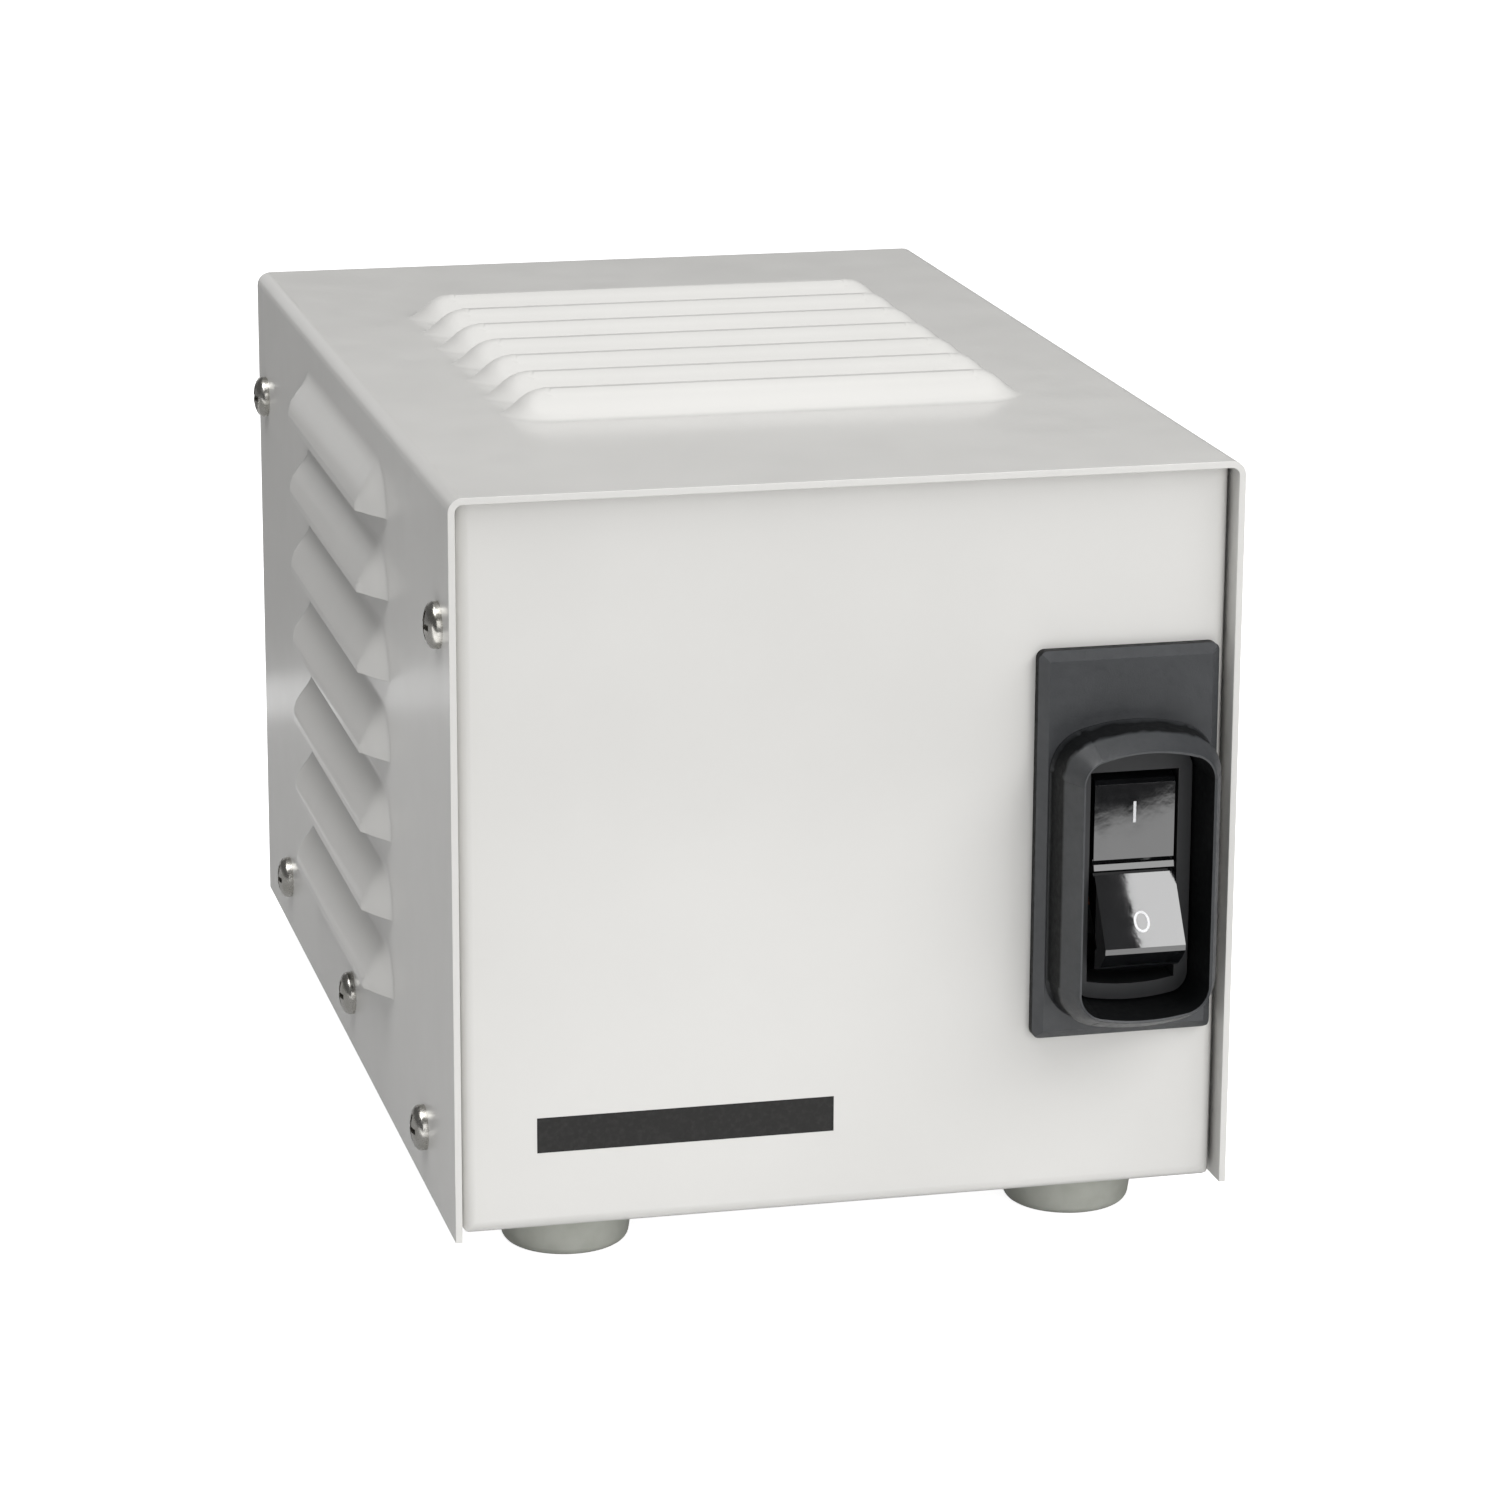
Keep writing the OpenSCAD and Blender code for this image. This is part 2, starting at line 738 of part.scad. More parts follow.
// The section swept round the mouth. The four corners are drawn in by a hair and run on a
// little inside their neighbours, so that no two skins coincide.
module guard_rim() {
    rim_arc(0, top_c, guard_arch_r, sa, 180 - sa, 0);
    rim_arc(0, low_c, guard_foot_r, 180 + ha, 360 - ha, 0);
    for (side = [-1, 1])
        translate([0, sy, 0]) rotate([90, 0, 0]) linear_extrude(height = sy - hy)
            polygon([for (s = rim_section(0)) [side * (mouth_half_w + s[0]), s[1]]]);
    rim_arc(sx, sy, shoulder_r, -corner_lap, sa + corner_lap, corner_inset);
    rim_arc(-sx, sy, shoulder_r, 180 - sa - corner_lap, 180 + corner_lap, corner_inset);
    rim_arc(-hx, hy, heel_r, 180 - corner_lap, 180 + ha + corner_lap, corner_inset);
    rim_arc(hx, hy, heel_r, 360 - ha - corner_lap, 360 + corner_lap, corner_inset);
}

// Outline with bevelled front edges: half width or end at the back, thickness
function bevelled(low, high) = [
    [low, 0], [high, 0], [high, plate_t - plate_bevel], [high - plate_bevel, plate_t],
    [low + plate_bevel, plate_t], [low, plate_t - plate_bevel]];

module guard_plate() {
    difference() {
        intersection() {
            translate([-mouth_shift, plate_h / 2, 0]) linear_extrude(height = plate_t)
                polygon(rounded(plate_w, plate_h, plate_corner_r));
            translate([0, plate_h, 0]) rotate([90, 0, 0]) linear_extrude(height = plate_h)
                polygon(bevelled(-plate_w / 2 - mouth_shift, plate_w / 2 - mouth_shift));
            along_x(-plate_w / 2 - mouth_shift, plate_w) polygon(bevelled(0, plate_h));
        }
        translate([0, 0, -over]) linear_extrude(height = plate_t + 2 * over)
            polygon(guard_outline((rim_root - ledge_in) / 2 + rim_draft));
    }
}

mouth_top = mouth_rise + mouth_h;

// Snap arm that hooks behind the panel, reaching away from the opening
module snap_arm(v, way) {
    arm_in = v - way * (ledge_in - mould_gap);
    translate([-arm_w / 2, 0, 0]) rotate([90, 0, 90]) linear_extrude(height = arm_w)
        polygon([
            [arm_in, ledge_h - seat_gap], [arm_in, -pan_t - seat_gap - barb_h],
            [arm_in + way * arm_t, -pan_t - seat_gap - barb_h],
            [arm_in + way * (arm_t + barb), -pan_t - seat_gap],
            [arm_in + way * arm_t, -pan_t - seat_gap],
            [arm_in + way * arm_t, ledge_h - seat_gap]]);
}

module panel_cut() {
    half = mouth_half_w - ledge_in + cut_gap;
    low = mouth_rise + ledge_in - mould_gap - arm_t - cut_gap;
    high = mouth_top - ledge_in + mould_gap + arm_t + cut_gap;
    translate([-half, low, -pan_t - over]) cube([2 * half, high - low, pan_t + 2 * over]);
}

module switch_guard() color(plate_black) in_frame() on_front() {
    guard_plate();
    guard_rim();
    snap_arm(mouth_top, 1);
    snap_arm(mouth_rise, -1);
}

// Opening that the rocker fills, with an arched lower edge
opening_outline = let (a = asin(opening_half_w / opening_arch_r)) concat(
    [[opening_half_w, opening_high], [-opening_half_w, opening_high]],
    arc(0, opening_low + opening_arch_r, opening_arch_r, 270 - a, 270 + a, arc_steps));

module side_barb(side, v) {
    wall = mouth_half_w - wall_in;
    translate([0, v + barb_len / 2, 0]) rotate([90, 0, 0]) linear_extrude(height = barb_len)
        polygon([
            [side * (wall - barb), -pan_t - seat_gap], [side * (wall + barb), -pan_t - seat_gap],
            [side * wall, -pan_t - seat_gap - barb_h],
            [side * (wall - barb), -pan_t - seat_gap - barb_h]]);
}

module switch_housing() color(black) in_frame() on_front() {
    wall = mouth_half_w - wall_in;
    difference() {
        union() {
            translate([0, 0, ledge_h]) linear_extrude(height = bezel_t)
                polygon(guard_outline(-bezel_in));
            translate([0, 0, -switch_depth]) linear_extrude(height = switch_depth + ledge_h + bezel_t / 2)
                polygon(guard_outline(-wall_in));
            for (side = [-1, 1]) for (v = [pivot_v - barb_v, pivot_v + barb_v]) side_barb(side, v);
        }
        translate([0, 0, -cavity_depth])
            linear_extrude(height = cavity_depth + ledge_h + bezel_t + over) polygon(opening_outline);
        translate([-wall - over, pivot_v, pivot_h]) rotate([0, 90, 0])
            cylinder(r = trunnion_r + run_gap, h = 2 * (wall + over));
        translate([-wall - over, pivot_v, pivot_h - lever_drop]) rotate([0, 90, 0])
            cylinder(r = lever_axle_r + run_gap, h = 2 * (wall + over));
    }
}

// Rocker section in its middle position: [up, out], axle at the origin
rocker_corner = [rocker_face * cos(rocker_tilt), rocker_valley + rocker_face * sin(rocker_tilt)];
rocker_end = norm(rocker_corner);
rocker_end_angle = atan2(rocker_corner[0], rocker_corner[1]);
rocker_end_steps = 8;

function on_face(d, deep) = [
    d * cos(rocker_tilt) + deep * sin(rocker_tilt),
    rocker_valley + d * sin(rocker_tilt) - deep * cos(rocker_tilt)];

function arc_end(i) =
    let (a = rocker_end_angle + 2 + (rocker_tail - rocker_end_angle - 2) * i / rocker_end_steps)
    [rocker_end * sin(a), rocker_end * cos(a)];

rocker_half = concat(
    [[rib_half, rocker_valley + rib_high], [rib_half, rocker_valley - groove_deep],
     on_face(groove_half, groove_deep), on_face(groove_half, 0),
     on_face(rocker_face - rocker_edge, 0)],
    [for (i = [0:rocker_end_steps]) arc_end(i)],
    [[rocker_end * sin(rocker_tail) - rocker_lip, rocker_end * cos(rocker_tail)],
     on_face(rocker_face - rocker_lip, rocker_thick),
     [hub_r / sqrt(2), hub_r / 2]]);

rocker_section = concat(
    rocker_half,
    [for (i = [len(rocker_half) - 1:-1:0]) [-rocker_half[i][0], rocker_half[i][1]]]);

// Outline from the front, with slightly bowed ends
rocker_front = let (a = asin(rocker_w / 2 / rocker_end_r)) concat(
    arc(0, rocker_end - rocker_end_r, rocker_end_r, 90 - a, 90 + a, arc_steps),
    arc(0, rocker_end_r - rocker_end, rocker_end_r, 270 - a, 270 + a, arc_steps));

module at_rocker() {
    translate([0, pivot_v, pivot_h]) rotate([-rocker_tilt, 0, 0]) children();
}

module switch_rocker() color(black) in_frame() on_front() at_rocker() {
    difference() {
        union() {
            intersection() {
                along_x(-rocker_w / 2, rocker_w) polygon(rocker_section);
                translate([0, 0, -rocker_end]) linear_extrude(height = 2 * rocker_end)
                    polygon(rocker_front);
            }
            translate([-rocker_w / 2, 0, 0]) rotate([0, 90, 0]) cylinder(r = hub_r, h = rocker_w);
            translate([-rocker_w / 2 - trunnion_len, 0, 0]) rotate([0, 90, 0])
                cylinder(r = trunnion_r, h = rocker_w + 2 * trunnion_len);
        }
        translate([0, 0, -hub_r - over]) cylinder(r = plunger_r + bolt_gap, h = hub_r + over + plunger_root);
    }
}

// The spring's pitch, its height along the wire's middle and the collar that it pushes on
spring_rise = 4 * spring_wire_r;
spring_h = spring_turns * spring_rise;
spring_z = -hub_r - run_gap - spring_wire_r - spring_h;
collar_z = spring_z - spring_wire_r - run_gap;

module switch_plunger() color(nylon) in_frame() on_front() at_rocker() {
    rotate_extrude() polygon(concat(
        [[0, plunger_root - seat_gap]],
        [[plunger_r, plunger_root - seat_gap], [plunger_r, collar_z],
         [spring_r + spring_wire_r, collar_z],
         [spring_r + spring_wire_r, plunger_r * tip_len_share - plunger_reach],
         [plunger_r * tip_share, -plunger_reach], [0, -plunger_reach]]));
}

// Coil round the plunger between the hub and the plunger's collar
module plunger_spring() color(plated) in_frame() on_front() at_rocker() {
    steps = 12;
    sides = 6;
    count = spring_turns * steps;
    pts = [for (i = [0:count]) for (j = [0:sides - 1])
        let (
            a = 360 * i / steps,
            b = 360 * j / sides,
            r = spring_r + spring_wire_r * cos(b)
        )
        [r * cos(a), r * sin(a), spring_z + spring_rise * i / steps + spring_wire_r * sin(b)]];
    skin = [for (i = [0:count - 1]) for (j = [0:sides - 1])
        let (
            j2 = (j + 1) % sides,
            a = i * sides + j,
            b = i * sides + j2,
            c = (i + 1) * sides + j2,
            d = (i + 1) * sides + j
        )
        each [[a, b, c], [a, c, d]]];
    start = [[for (j = [sides - 1:-1:0]) j]];
    finish = [[for (j = [0:sides - 1]) count * sides + j]];
    polyhedron(pts, concat(skin, start, finish), convexity = 8);
}

// How high the plunger's tip rides above the lever's axle at either end of its swing
tip_angle = rocker_tilt + lever_tilt;
tip_rise = lever_drop * cos(lever_tilt) - plunger_reach * cos(tip_angle) - seat_gap;

// Bent strip with a shallow cradle in the middle that the plunger rides in
lever_half_top = [
    [lever_valley, tip_rise], [lever_crest, tip_rise], [lever_knee, lever_face], [lever_half, lever_face]];
lever_section = let (t = lever_face + lever_back) concat(
    [[0, lever_face]], lever_half_top,
    [for (i = [len(lever_half_top) - 1:-1:0]) [lever_half_top[i][0], lever_half_top[i][1] - t]],
    [[0, -lever_back]],
    [for (q = lever_half_top) [-q[0], q[1] - t]],
    [for (i = [len(lever_half_top) - 1:-1:0]) [-lever_half_top[i][0], lever_half_top[i][1]]]);

module contact_lever() color(copper) in_frame() on_front()
    translate([0, pivot_v, pivot_h - lever_drop]) rotate([lever_tilt, 0, 0]) {
        along_x(-lever_w / 2, lever_w) polygon(lever_section);
        translate([-rocker_w / 2 - trunnion_len, 0, 0]) rotate([0, 90, 0])
            cylinder(r = lever_axle_r, h = rocker_w + 2 * trunnion_len);
        for (end = [-1, 1])
            translate([0, end * button_at, -lever_back - button_h])
                cylinder(r = button_r, h = button_h + lever_back / 2);
    }

// Lowest point of the lever's button, and the contact just below it
button_low = (button_at + button_r) * sin(lever_tilt) + (lever_back + button_h) * cos(lever_tilt);
contact_top = pivot_h - lever_drop - button_low - seat_gap;

module switch_contacts() color(brass) in_frame() on_front() {
    for (end = [-1, 1])
        translate([0, pivot_v + end * button_at, -cavity_depth]) {
            translate([-contact_w / 2, -contact_w / 2, 0])
                cube([contact_w, contact_w, cavity_depth + contact_top - contact_base_h]);
            cylinder(r = contact_r, h = cavity_depth + contact_top);
        }
}

module switch_terminals() color(brass) in_frame() on_front() {
    for (x = [-terminal_x, terminal_x]) for (v = [pivot_v - terminal_v, pivot_v + terminal_v])
        translate([x, v, -switch_depth - terminal_len])
            difference() {
                translate([-terminal_t / 2, -terminal_w / 2, 0]) cube([terminal_t, terminal_w, terminal_len]);
                translate([-terminal_t / 2 - over, 0, terminal_hole_r * 3]) rotate([0, 90, 0])
                    cylinder(r = terminal_hole_r, h = terminal_t + 2 * over);
            }
}

// Outlet. Local frame: Y up the panel, Z out of the rear panel's outer face, origin at its middle.

module on_rear() {
    translate([outlet_x, panel_y, cover_z + outlet_rise]) rotate([90, 0, 180]) children();
}

outlet_ways = [-outlet_pitch / 2, outlet_pitch / 2];

// Round face with flat top and bottom
function outlet_outline(gap) =
    let (r = outlet_face_r + gap, a = asin((outlet_flat + gap) / r)) concat(
        arc(0, 0, r, -a, a, 2 * arc_steps),
        arc(0, 0, r, 180 - a, 180 + a, 2 * arc_steps));

module outlet_shapes(gap, z0, h) {
    for (v = outlet_ways)
        translate([0, v, z0]) linear_extrude(height = h) polygon(outlet_outline(gap));
}

module outlet_cuts() {
    outlet_shapes(face_gap, -pan_t - over, pan_t + 2 * over);
    for (v = [-outlet_screw_pitch / 2, outlet_screw_pitch / 2])
        translate([0, v, -pan_t - over]) cylinder(r = outlet_screw_r + bolt_gap, h = pan_t + 2 * over);
}

outlet_back = -pan_t - strap_t - face_base_t;
contact_deep = contact_len + seat_gap;

module outlet_face() color(nylon) in_frame() on_rear() {
    difference() {
        union() {
            translate([-face_base_w / 2, -face_base_h / 2, outlet_back])
                cube([face_base_w, face_base_h, face_base_t]);
            outlet_shapes(0, outlet_back + face_base_t / 2, outlet_out - outlet_back - face_base_t / 2);
        }
        for (v = outlet_ways) {
            deep = outlet_out - outlet_back + 2 * over;
            translate([slot_x - slot_t / 2, v + slot_up - neutral_slot / 2, outlet_back - over])
                cube([slot_t, neutral_slot, deep]);
            translate([-slot_x - slot_t / 2, v + slot_up - line_slot / 2, outlet_back - over])
                cube([slot_t, line_slot, deep]);
            translate([0, v - ground_down, outlet_back - over]) cylinder(r = ground_socket_r, h = deep);
        }
    }
}

// One bent strip: an ear at each end behind the panel, and a bracket round the body's back
strap_section = let (
    ear = outlet_screw_pitch / 2 + strap_end,
    leg_in = face_base_h / 2 + pocket_gap,
    back = outlet_back - outlet_body_depth - pocket_gap
) [
    [ear, -pan_t], [leg_in, -pan_t], [leg_in, back], [-leg_in, back], [-leg_in, -pan_t], [-ear, -pan_t],
    [-ear, -pan_t - strap_t], [-leg_in - strap_t, -pan_t - strap_t], [-leg_in - strap_t, back - strap_t],
    [leg_in + strap_t, back - strap_t], [leg_in + strap_t, -pan_t - strap_t], [ear, -pan_t - strap_t]];

module outlet_strap() color(plated) in_frame() on_rear() {
    difference() {
        along_x(-strap_w / 2, strap_w) polygon(strap_section);
        for (v = [-outlet_screw_pitch / 2, outlet_screw_pitch / 2])
            translate([0, v, -pan_t - strap_t - over])
                cylinder(r = outlet_screw_r + run_gap, h = strap_t + 2 * over);
    }
}

// Outer size of a blade contact that grips a blade of the given slot length
function blade_size(slot) = [slot_t + 2 * contact_wall, slot + 2 * contact_wall];

module blade_pocket(x, v, slot, gap) {
    s = blade_size(slot);
    translate([x - s[0] / 2 - gap, v + slot_up - s[1] / 2 - gap, outlet_back - contact_deep])
        cube([s[0] + 2 * gap, s[1] + 2 * gap, contact_deep + over]);
}

ground_tube_r = ground_socket_r + contact_wall;

module outlet_body() color(nylon) in_frame() on_rear() {
    difference() {
        translate([-face_base_w / 2, -face_base_h / 2, outlet_back - outlet_body_depth])
            cube([face_base_w, face_base_h, outlet_body_depth]);
        for (v = outlet_ways) {
            blade_pocket(slot_x, v, neutral_slot, pocket_gap);
            blade_pocket(-slot_x, v, line_slot, pocket_gap);
            translate([0, v - ground_down, outlet_back - contact_deep])
                cylinder(r = ground_tube_r + pocket_gap, h = contact_deep + over);
        }
        at_side_terminals(1) side_terminal_hole();
        at_side_terminals(-1) side_terminal_hole();
        at_earth_terminal() side_terminal_hole();
    }
}

module side_terminal_hole() {
    translate([0, 0, -side_screw_len - seat_gap]) cylinder(r = side_screw_r + run_gap, h = side_screw_len + over);
}

module at_side_terminals(side) {
    for (v = outlet_ways)
        translate([side * face_base_w / 2, v, outlet_back - outlet_body_depth + side_screw_back])
            rotate([0, side * 90, 0]) children();
}

module at_earth_terminal() {
    translate([-face_base_w / 2, -earth_screw_up - outlet_flat / 2 + side_head_r, outlet_back - side_screw_back + side_head_r])
        rotate([0, -90, 0]) children();
}

// A spring-leaf contact open towards the slot
module blade_contact(x, v, slot) {
    s = blade_size(slot);
    translate([x, v + slot_up, outlet_back - contact_deep])
        difference() {
            translate([-s[0] / 2, -s[1] / 2, 0]) cube([s[0], s[1], contact_len]);
            translate([-slot_t / 2, -s[1] / 2 - over, contact_wall])
                cube([slot_t, s[1] + 2 * over, contact_len]);
        }
}

module outlet_line_contacts() color(brass) in_frame() on_rear() {
    for (v = outlet_ways) blade_contact(-slot_x, v, line_slot);
}

module outlet_neutral_contacts() color(brass) in_frame() on_rear() {
    for (v = outlet_ways) blade_contact(slot_x, v, neutral_slot);
}

module outlet_ground_contacts() color(brass) in_frame() on_rear() {
    for (v = outlet_ways)
        translate([0, v - ground_down, outlet_back - contact_deep])
            difference() {
                cylinder(r = ground_tube_r, h = contact_len);
                translate([0, 0, contact_wall]) cylinder(r = ground_socket_r - ground_grip, h = contact_len);
            }
}

module outlet_screws() color(plated) in_frame() on_rear() {
    for (v = [-outlet_screw_pitch / 2, outlet_screw_pitch / 2])
        translate([0, v, 0]) pan_screw(outlet_head_r, outlet_head_h, outlet_screw_r, pan_t + strap_t + tip_past);
}

module side_terminal_screw() pan_screw(side_head_r, side_head_h, side_screw_r, side_screw_len);

module outlet_line_screws() color(brass) in_frame() on_rear() at_side_terminals(-1) side_terminal_screw();
module outlet_neutral_screws() color(plated) in_frame() on_rear() at_side_terminals(1) side_terminal_screw();
module outlet_earth_screw() color("green") in_frame() on_rear() at_earth_terminal() side_terminal_screw();

// Cord gland, pressed into the rear panel and open for a cord

module cord_gland() color(black) in_frame()
    translate([gland_x, panel_y, cover_z + gland_rise]) rotate([-90, 0, 0])
        rotate_extrude() polygon([
            [gland_bore_r, -pan_t - gland_in], [gland_body_r - mould_gap, -pan_t - gland_in],
            [gland_clip_r, -pan_t - seat_gap - barb_h], [gland_clip_r, -pan_t - seat_gap],
            [gland_body_r, -pan_t - seat_gap], [gland_body_r, 0],
            [gland_flange_r, 0], [gland_flange_r, gland_flange_t - mould_gap],
            [gland_flange_r - mould_gap, gland_flange_t], [gland_body_r, gland_flange_t],
            [gland_nose_r, gland_out], [gland_bore_r, gland_out]]);

// Transformer

module at_core() {
    translate([0, core_y, core_z]) children();
}

core_bolts_at = [for (x = [-1, 1]) for (z = [leg / 2, core_h - leg / 2]) [x * (core_w - leg) / 2, z]];

module core_holes() {
    for (p = core_bolts_at)
        translate([p[0], stack / 2 + over, p[1]]) rotate([90, 0, 0])
            cylinder(r = core_hole_r, h = stack + 2 * over);
}

module core_e_laminations() color(core_grey) in_frame() at_core() {
    half = core_w / 2;
    top = core_h - leg;
    difference() {
        along_y(-stack / 2, stack) polygon([
            [-half, 0], [half, 0], [half, top], [half - leg, top], [half - leg, leg], [leg, leg],
            [leg, top], [-leg, top], [-leg, leg], [leg - half, leg], [leg - half, top], [-half, top]]);
        core_holes();
    }
}

module core_i_laminations() color(core_grey) in_frame() at_core() {
    difference() {
        translate([-core_w / 2, -stack / 2, core_h - leg]) cube([core_w, stack, leg]);
        core_holes();
    }
}

// Sizes of the sleeves round the middle leg, from the leg outwards
bobbin_in = coil_gap / 2;
primary_in = bobbin_in + bobbin_t + winding_gap;
shield_in = primary_in + primary_t + winding_gap;
secondary_in = shield_in + shield_t + winding_gap;
wrap_in = secondary_in + secondary_t + winding_gap;
coil_low = leg + coil_gap;
coil_high = core_h - leg - coil_gap;
wind_low = coil_low + flange_t + winding_gap;
wind_high = coil_high - flange_t - winding_gap;

module sleeve_outline(clear) {
    polygon(rounded(2 * (leg + clear), stack + 2 * clear, wind_corner_r + clear));
}

// A sleeve of thickness t whose inside is clear of the leg by gap, from z0 to z1
module sleeve(gap, t, z0, z1) {
    translate([0, 0, z0]) linear_extrude(height = z1 - z0)
        difference() {
            sleeve_outline(gap + t);
            sleeve_outline(gap);
        }
}

module leg_hole(z0, z1) {
    translate([-leg - bobbin_in, -stack / 2 - bobbin_in, z0 - over])
        cube([2 * (leg + bobbin_in), stack + 2 * bobbin_in, z1 - z0 + 2 * over]);
}

module coil_bobbin() color(nylon) in_frame() at_core() {
    difference() {
        union() {
            translate([0, 0, coil_low]) linear_extrude(height = coil_high - coil_low)
                sleeve_outline(bobbin_in + bobbin_t);
            for (z = [coil_low, coil_high - flange_t])
                translate([0, 0, z]) linear_extrude(height = flange_t)
                    polygon(rounded(4 * leg - 2 * coil_gap, stack + 2 * leg - 2 * coil_gap, 2 * wind_corner_r));
        }
        leg_hole(coil_low, coil_high);
    }
}

module primary_winding() color(copper) in_frame() at_core()
    sleeve(primary_in, primary_t, wind_low, wind_high);

module shield_foil() color(copper) in_frame() at_core()
    sleeve(shield_in, shield_t, wind_low, wind_high);

module secondary_winding() color(copper) in_frame() at_core()
    sleeve(secondary_in, secondary_t, wind_low, wind_high);

module coil_wrap() color(tape) in_frame() at_core()
    sleeve(wrap_in, wrap_t, wind_low, wind_high);

// L-shaped foot in front of the stack
module core_bracket() {
    difference() {
        union() {
            translate([-core_w / 2, -stack / 2 - bracket_t, 0]) cube([core_w, bracket_t, bracket_up]);
            translate([-core_w / 2, -stack / 2 - bracket_t - bracket_foot, 0])
                cube([core_w, bracket_foot + bracket_t, bracket_t]);
        }
        for (x = [-1, 1]) {
            translate([x * (core_w - leg) / 2, -stack / 2 + over, leg / 2]) rotate([90, 0, 0])
                cylinder(r = core_hole_r, h = bracket_t + 2 * over);
            translate([x * bracket_screw_x, -bracket_screw_y, -over])
                cylinder(r = bracket_screw_r + bolt_gap, h = bracket_t + 2 * over);
        }
    }
}

module front_core_bracket() color(plated) in_frame() at_core() core_bracket();
module rear_core_bracket() color(plated) in_frame() at_core() rotate([0, 0, 180]) core_bracket();

module core_clamp_bars() color(plated) in_frame() at_core() {
    for (turn = [0, 180])
        rotate([0, 0, turn])
            difference() {
                translate([-core_w / 2, -stack / 2 - bracket_t, core_h - bracket_up])
                    cube([core_w, bracket_t, bracket_up]);
                for (x = [-1, 1])
                    translate([x * (core_w - leg) / 2, -stack / 2 + over, core_h - leg / 2])
                        rotate([90, 0, 0]) cylinder(r = core_hole_r, h = bracket_t + 2 * over);
            }
}

clamp_y = stack / 2 + bracket_t;

module core_bolts() color(plated) in_frame() at_core() {
    for (p = core_bolts_at)
        translate([p[0], -clamp_y - washer_t, p[1]]) rotate([90, 0, 0]) {
            cylinder(r = core_bolt_r * nut_share, h = bolt_head_h, $fn = 6);
            translate([0, 0, -2 * (clamp_y + washer_t) - nut_h - tip_past])
                cylinder(r = core_bolt_r, h = 2 * (clamp_y + washer_t) + nut_h + tip_past + bolt_head_h / 2);
        }
}

module core_washers() color(plated) in_frame() at_core() {
    for (p = core_bolts_at) for (y = [-clamp_y, clamp_y + washer_t])
        translate([p[0], y, p[1]]) rotate([90, 0, 0]) washer(washer_r, core_hole_r, washer_t);
}

module core_nuts() color(plated) in_frame() at_core() {
    for (p = core_bolts_at)
        translate([p[0], clamp_y + washer_t + nut_h, p[1]]) rotate([90, 0, 0]) hex_nut(core_bolt_r, nut_h);
}

module bracket_screws() color(plated) in_frame() {
    for (p = bracket_screws_at)
        translate([p[0], p[1], pan_z]) rotate([180, 0, 0])
            pan_screw(foot_head_r, bracket_head_h, bracket_screw_r, pan_t + bracket_t + nut_h + tip_past);
}

module bracket_nuts() color(plated) in_frame() {
    for (p = bracket_screws_at)
        translate([p[0], p[1], floor_z + bracket_t]) hex_nut(bracket_screw_r, nut_h);
}

// Terminal block

way_pitch = (block_w - block_wall_t) / block_ways;
way_places = [for (i = [0:block_ways - 1]) for (y = [-way_row, way_row])
    [block_x - block_w / 2 + block_wall_t / 2 + (i + 0.5) * way_pitch, block_y + y]];

module terminal_block() color(black) in_frame() {
    difference() {
        union() {
            translate([block_x - block_w / 2 - block_ear, block_y - block_d / 4, floor_z])
                cube([block_w + 2 * block_ear, block_d / 2, block_base_h / 2]);
            translate([block_x - block_w / 2, block_y - block_d / 2, floor_z])
                cube([block_w, block_d, block_base_h]);
            for (i = [0:block_ways])
                translate([block_x - block_w / 2 + i * way_pitch, block_y - block_d / 2, floor_z])
                    cube([block_wall_t, block_d, block_wall_h]);
        }
        for (p = block_screws_at) translate([p[0], p[1], floor_z - over])
            cylinder(r = block_screw_r + bolt_gap, h = block_base_h);
        for (p = way_places) translate([p[0], p[1], floor_z + block_base_h - way_screw_len - seat_gap])
            cylinder(r = way_screw_r + run_gap, h = way_screw_len + over);
    }
}

module terminal_screws() color(brass) in_frame() {
    for (p = way_places)
        translate([p[0], p[1], floor_z + block_base_h])
            pan_screw(way_head_r, way_head_h, way_screw_r, way_screw_len);
}

module block_screws() color(plated) in_frame() {
    for (p = block_screws_at)
        translate([p[0], p[1], floor_z + block_base_h / 2])
            pan_screw(way_head_r, way_head_h, block_screw_r, block_base_h / 2 + pan_t + tip_past / 2);
}

// Surge board

board_z = floor_z + board_lift;
board_top = board_z + board_t;

module surge_board() color(board_green) in_frame() {
    difference() {
        translate([board_x - board_w / 2, board_y - board_d / 2, board_z]) cube([board_w, board_d, board_t]);
        for (p = board_holes) translate([p[0], p[1], board_z - over])
            cylinder(r = board_screw_r + bolt_gap, h = board_t + 2 * over);
    }
}

module board_standoffs() color(plated) in_frame() {
    for (p = board_holes) translate([p[0], p[1], floor_z]) washer(standoff_r, board_screw_r + run_gap, board_lift);
}

module board_screws() color(plated) in_frame() {
    for (p = board_holes) {
        translate([p[0], p[1], board_top])
            pan_screw(board_head_r, board_head_h, board_screw_r, board_t + board_lift / 2 - seat_gap);
        translate([p[0], p[1], pan_z]) rotate([180, 0, 0])
            pan_screw(board_head_r, board_head_h, board_screw_r, pan_t + board_lift / 2 - seat_gap);
    }
}

// Round varistors standing on two leads each
module varistors() color(blue) in_frame() {
    for (i = [0:2])
        translate([board_x - board_w / 4 + (i - 1) * varistor_pitch, board_y, board_top]) {
            translate([-varistor_t / 2, 0, varistor_up + varistor_r]) rotate([0, 90, 0])
                cylinder(r = varistor_r, h = varistor_t);
            for (y = [-lead_half, lead_half])
                translate([0, y, 0]) cylinder(r = lead_r, h = varistor_up + varistor_r);
        }
}

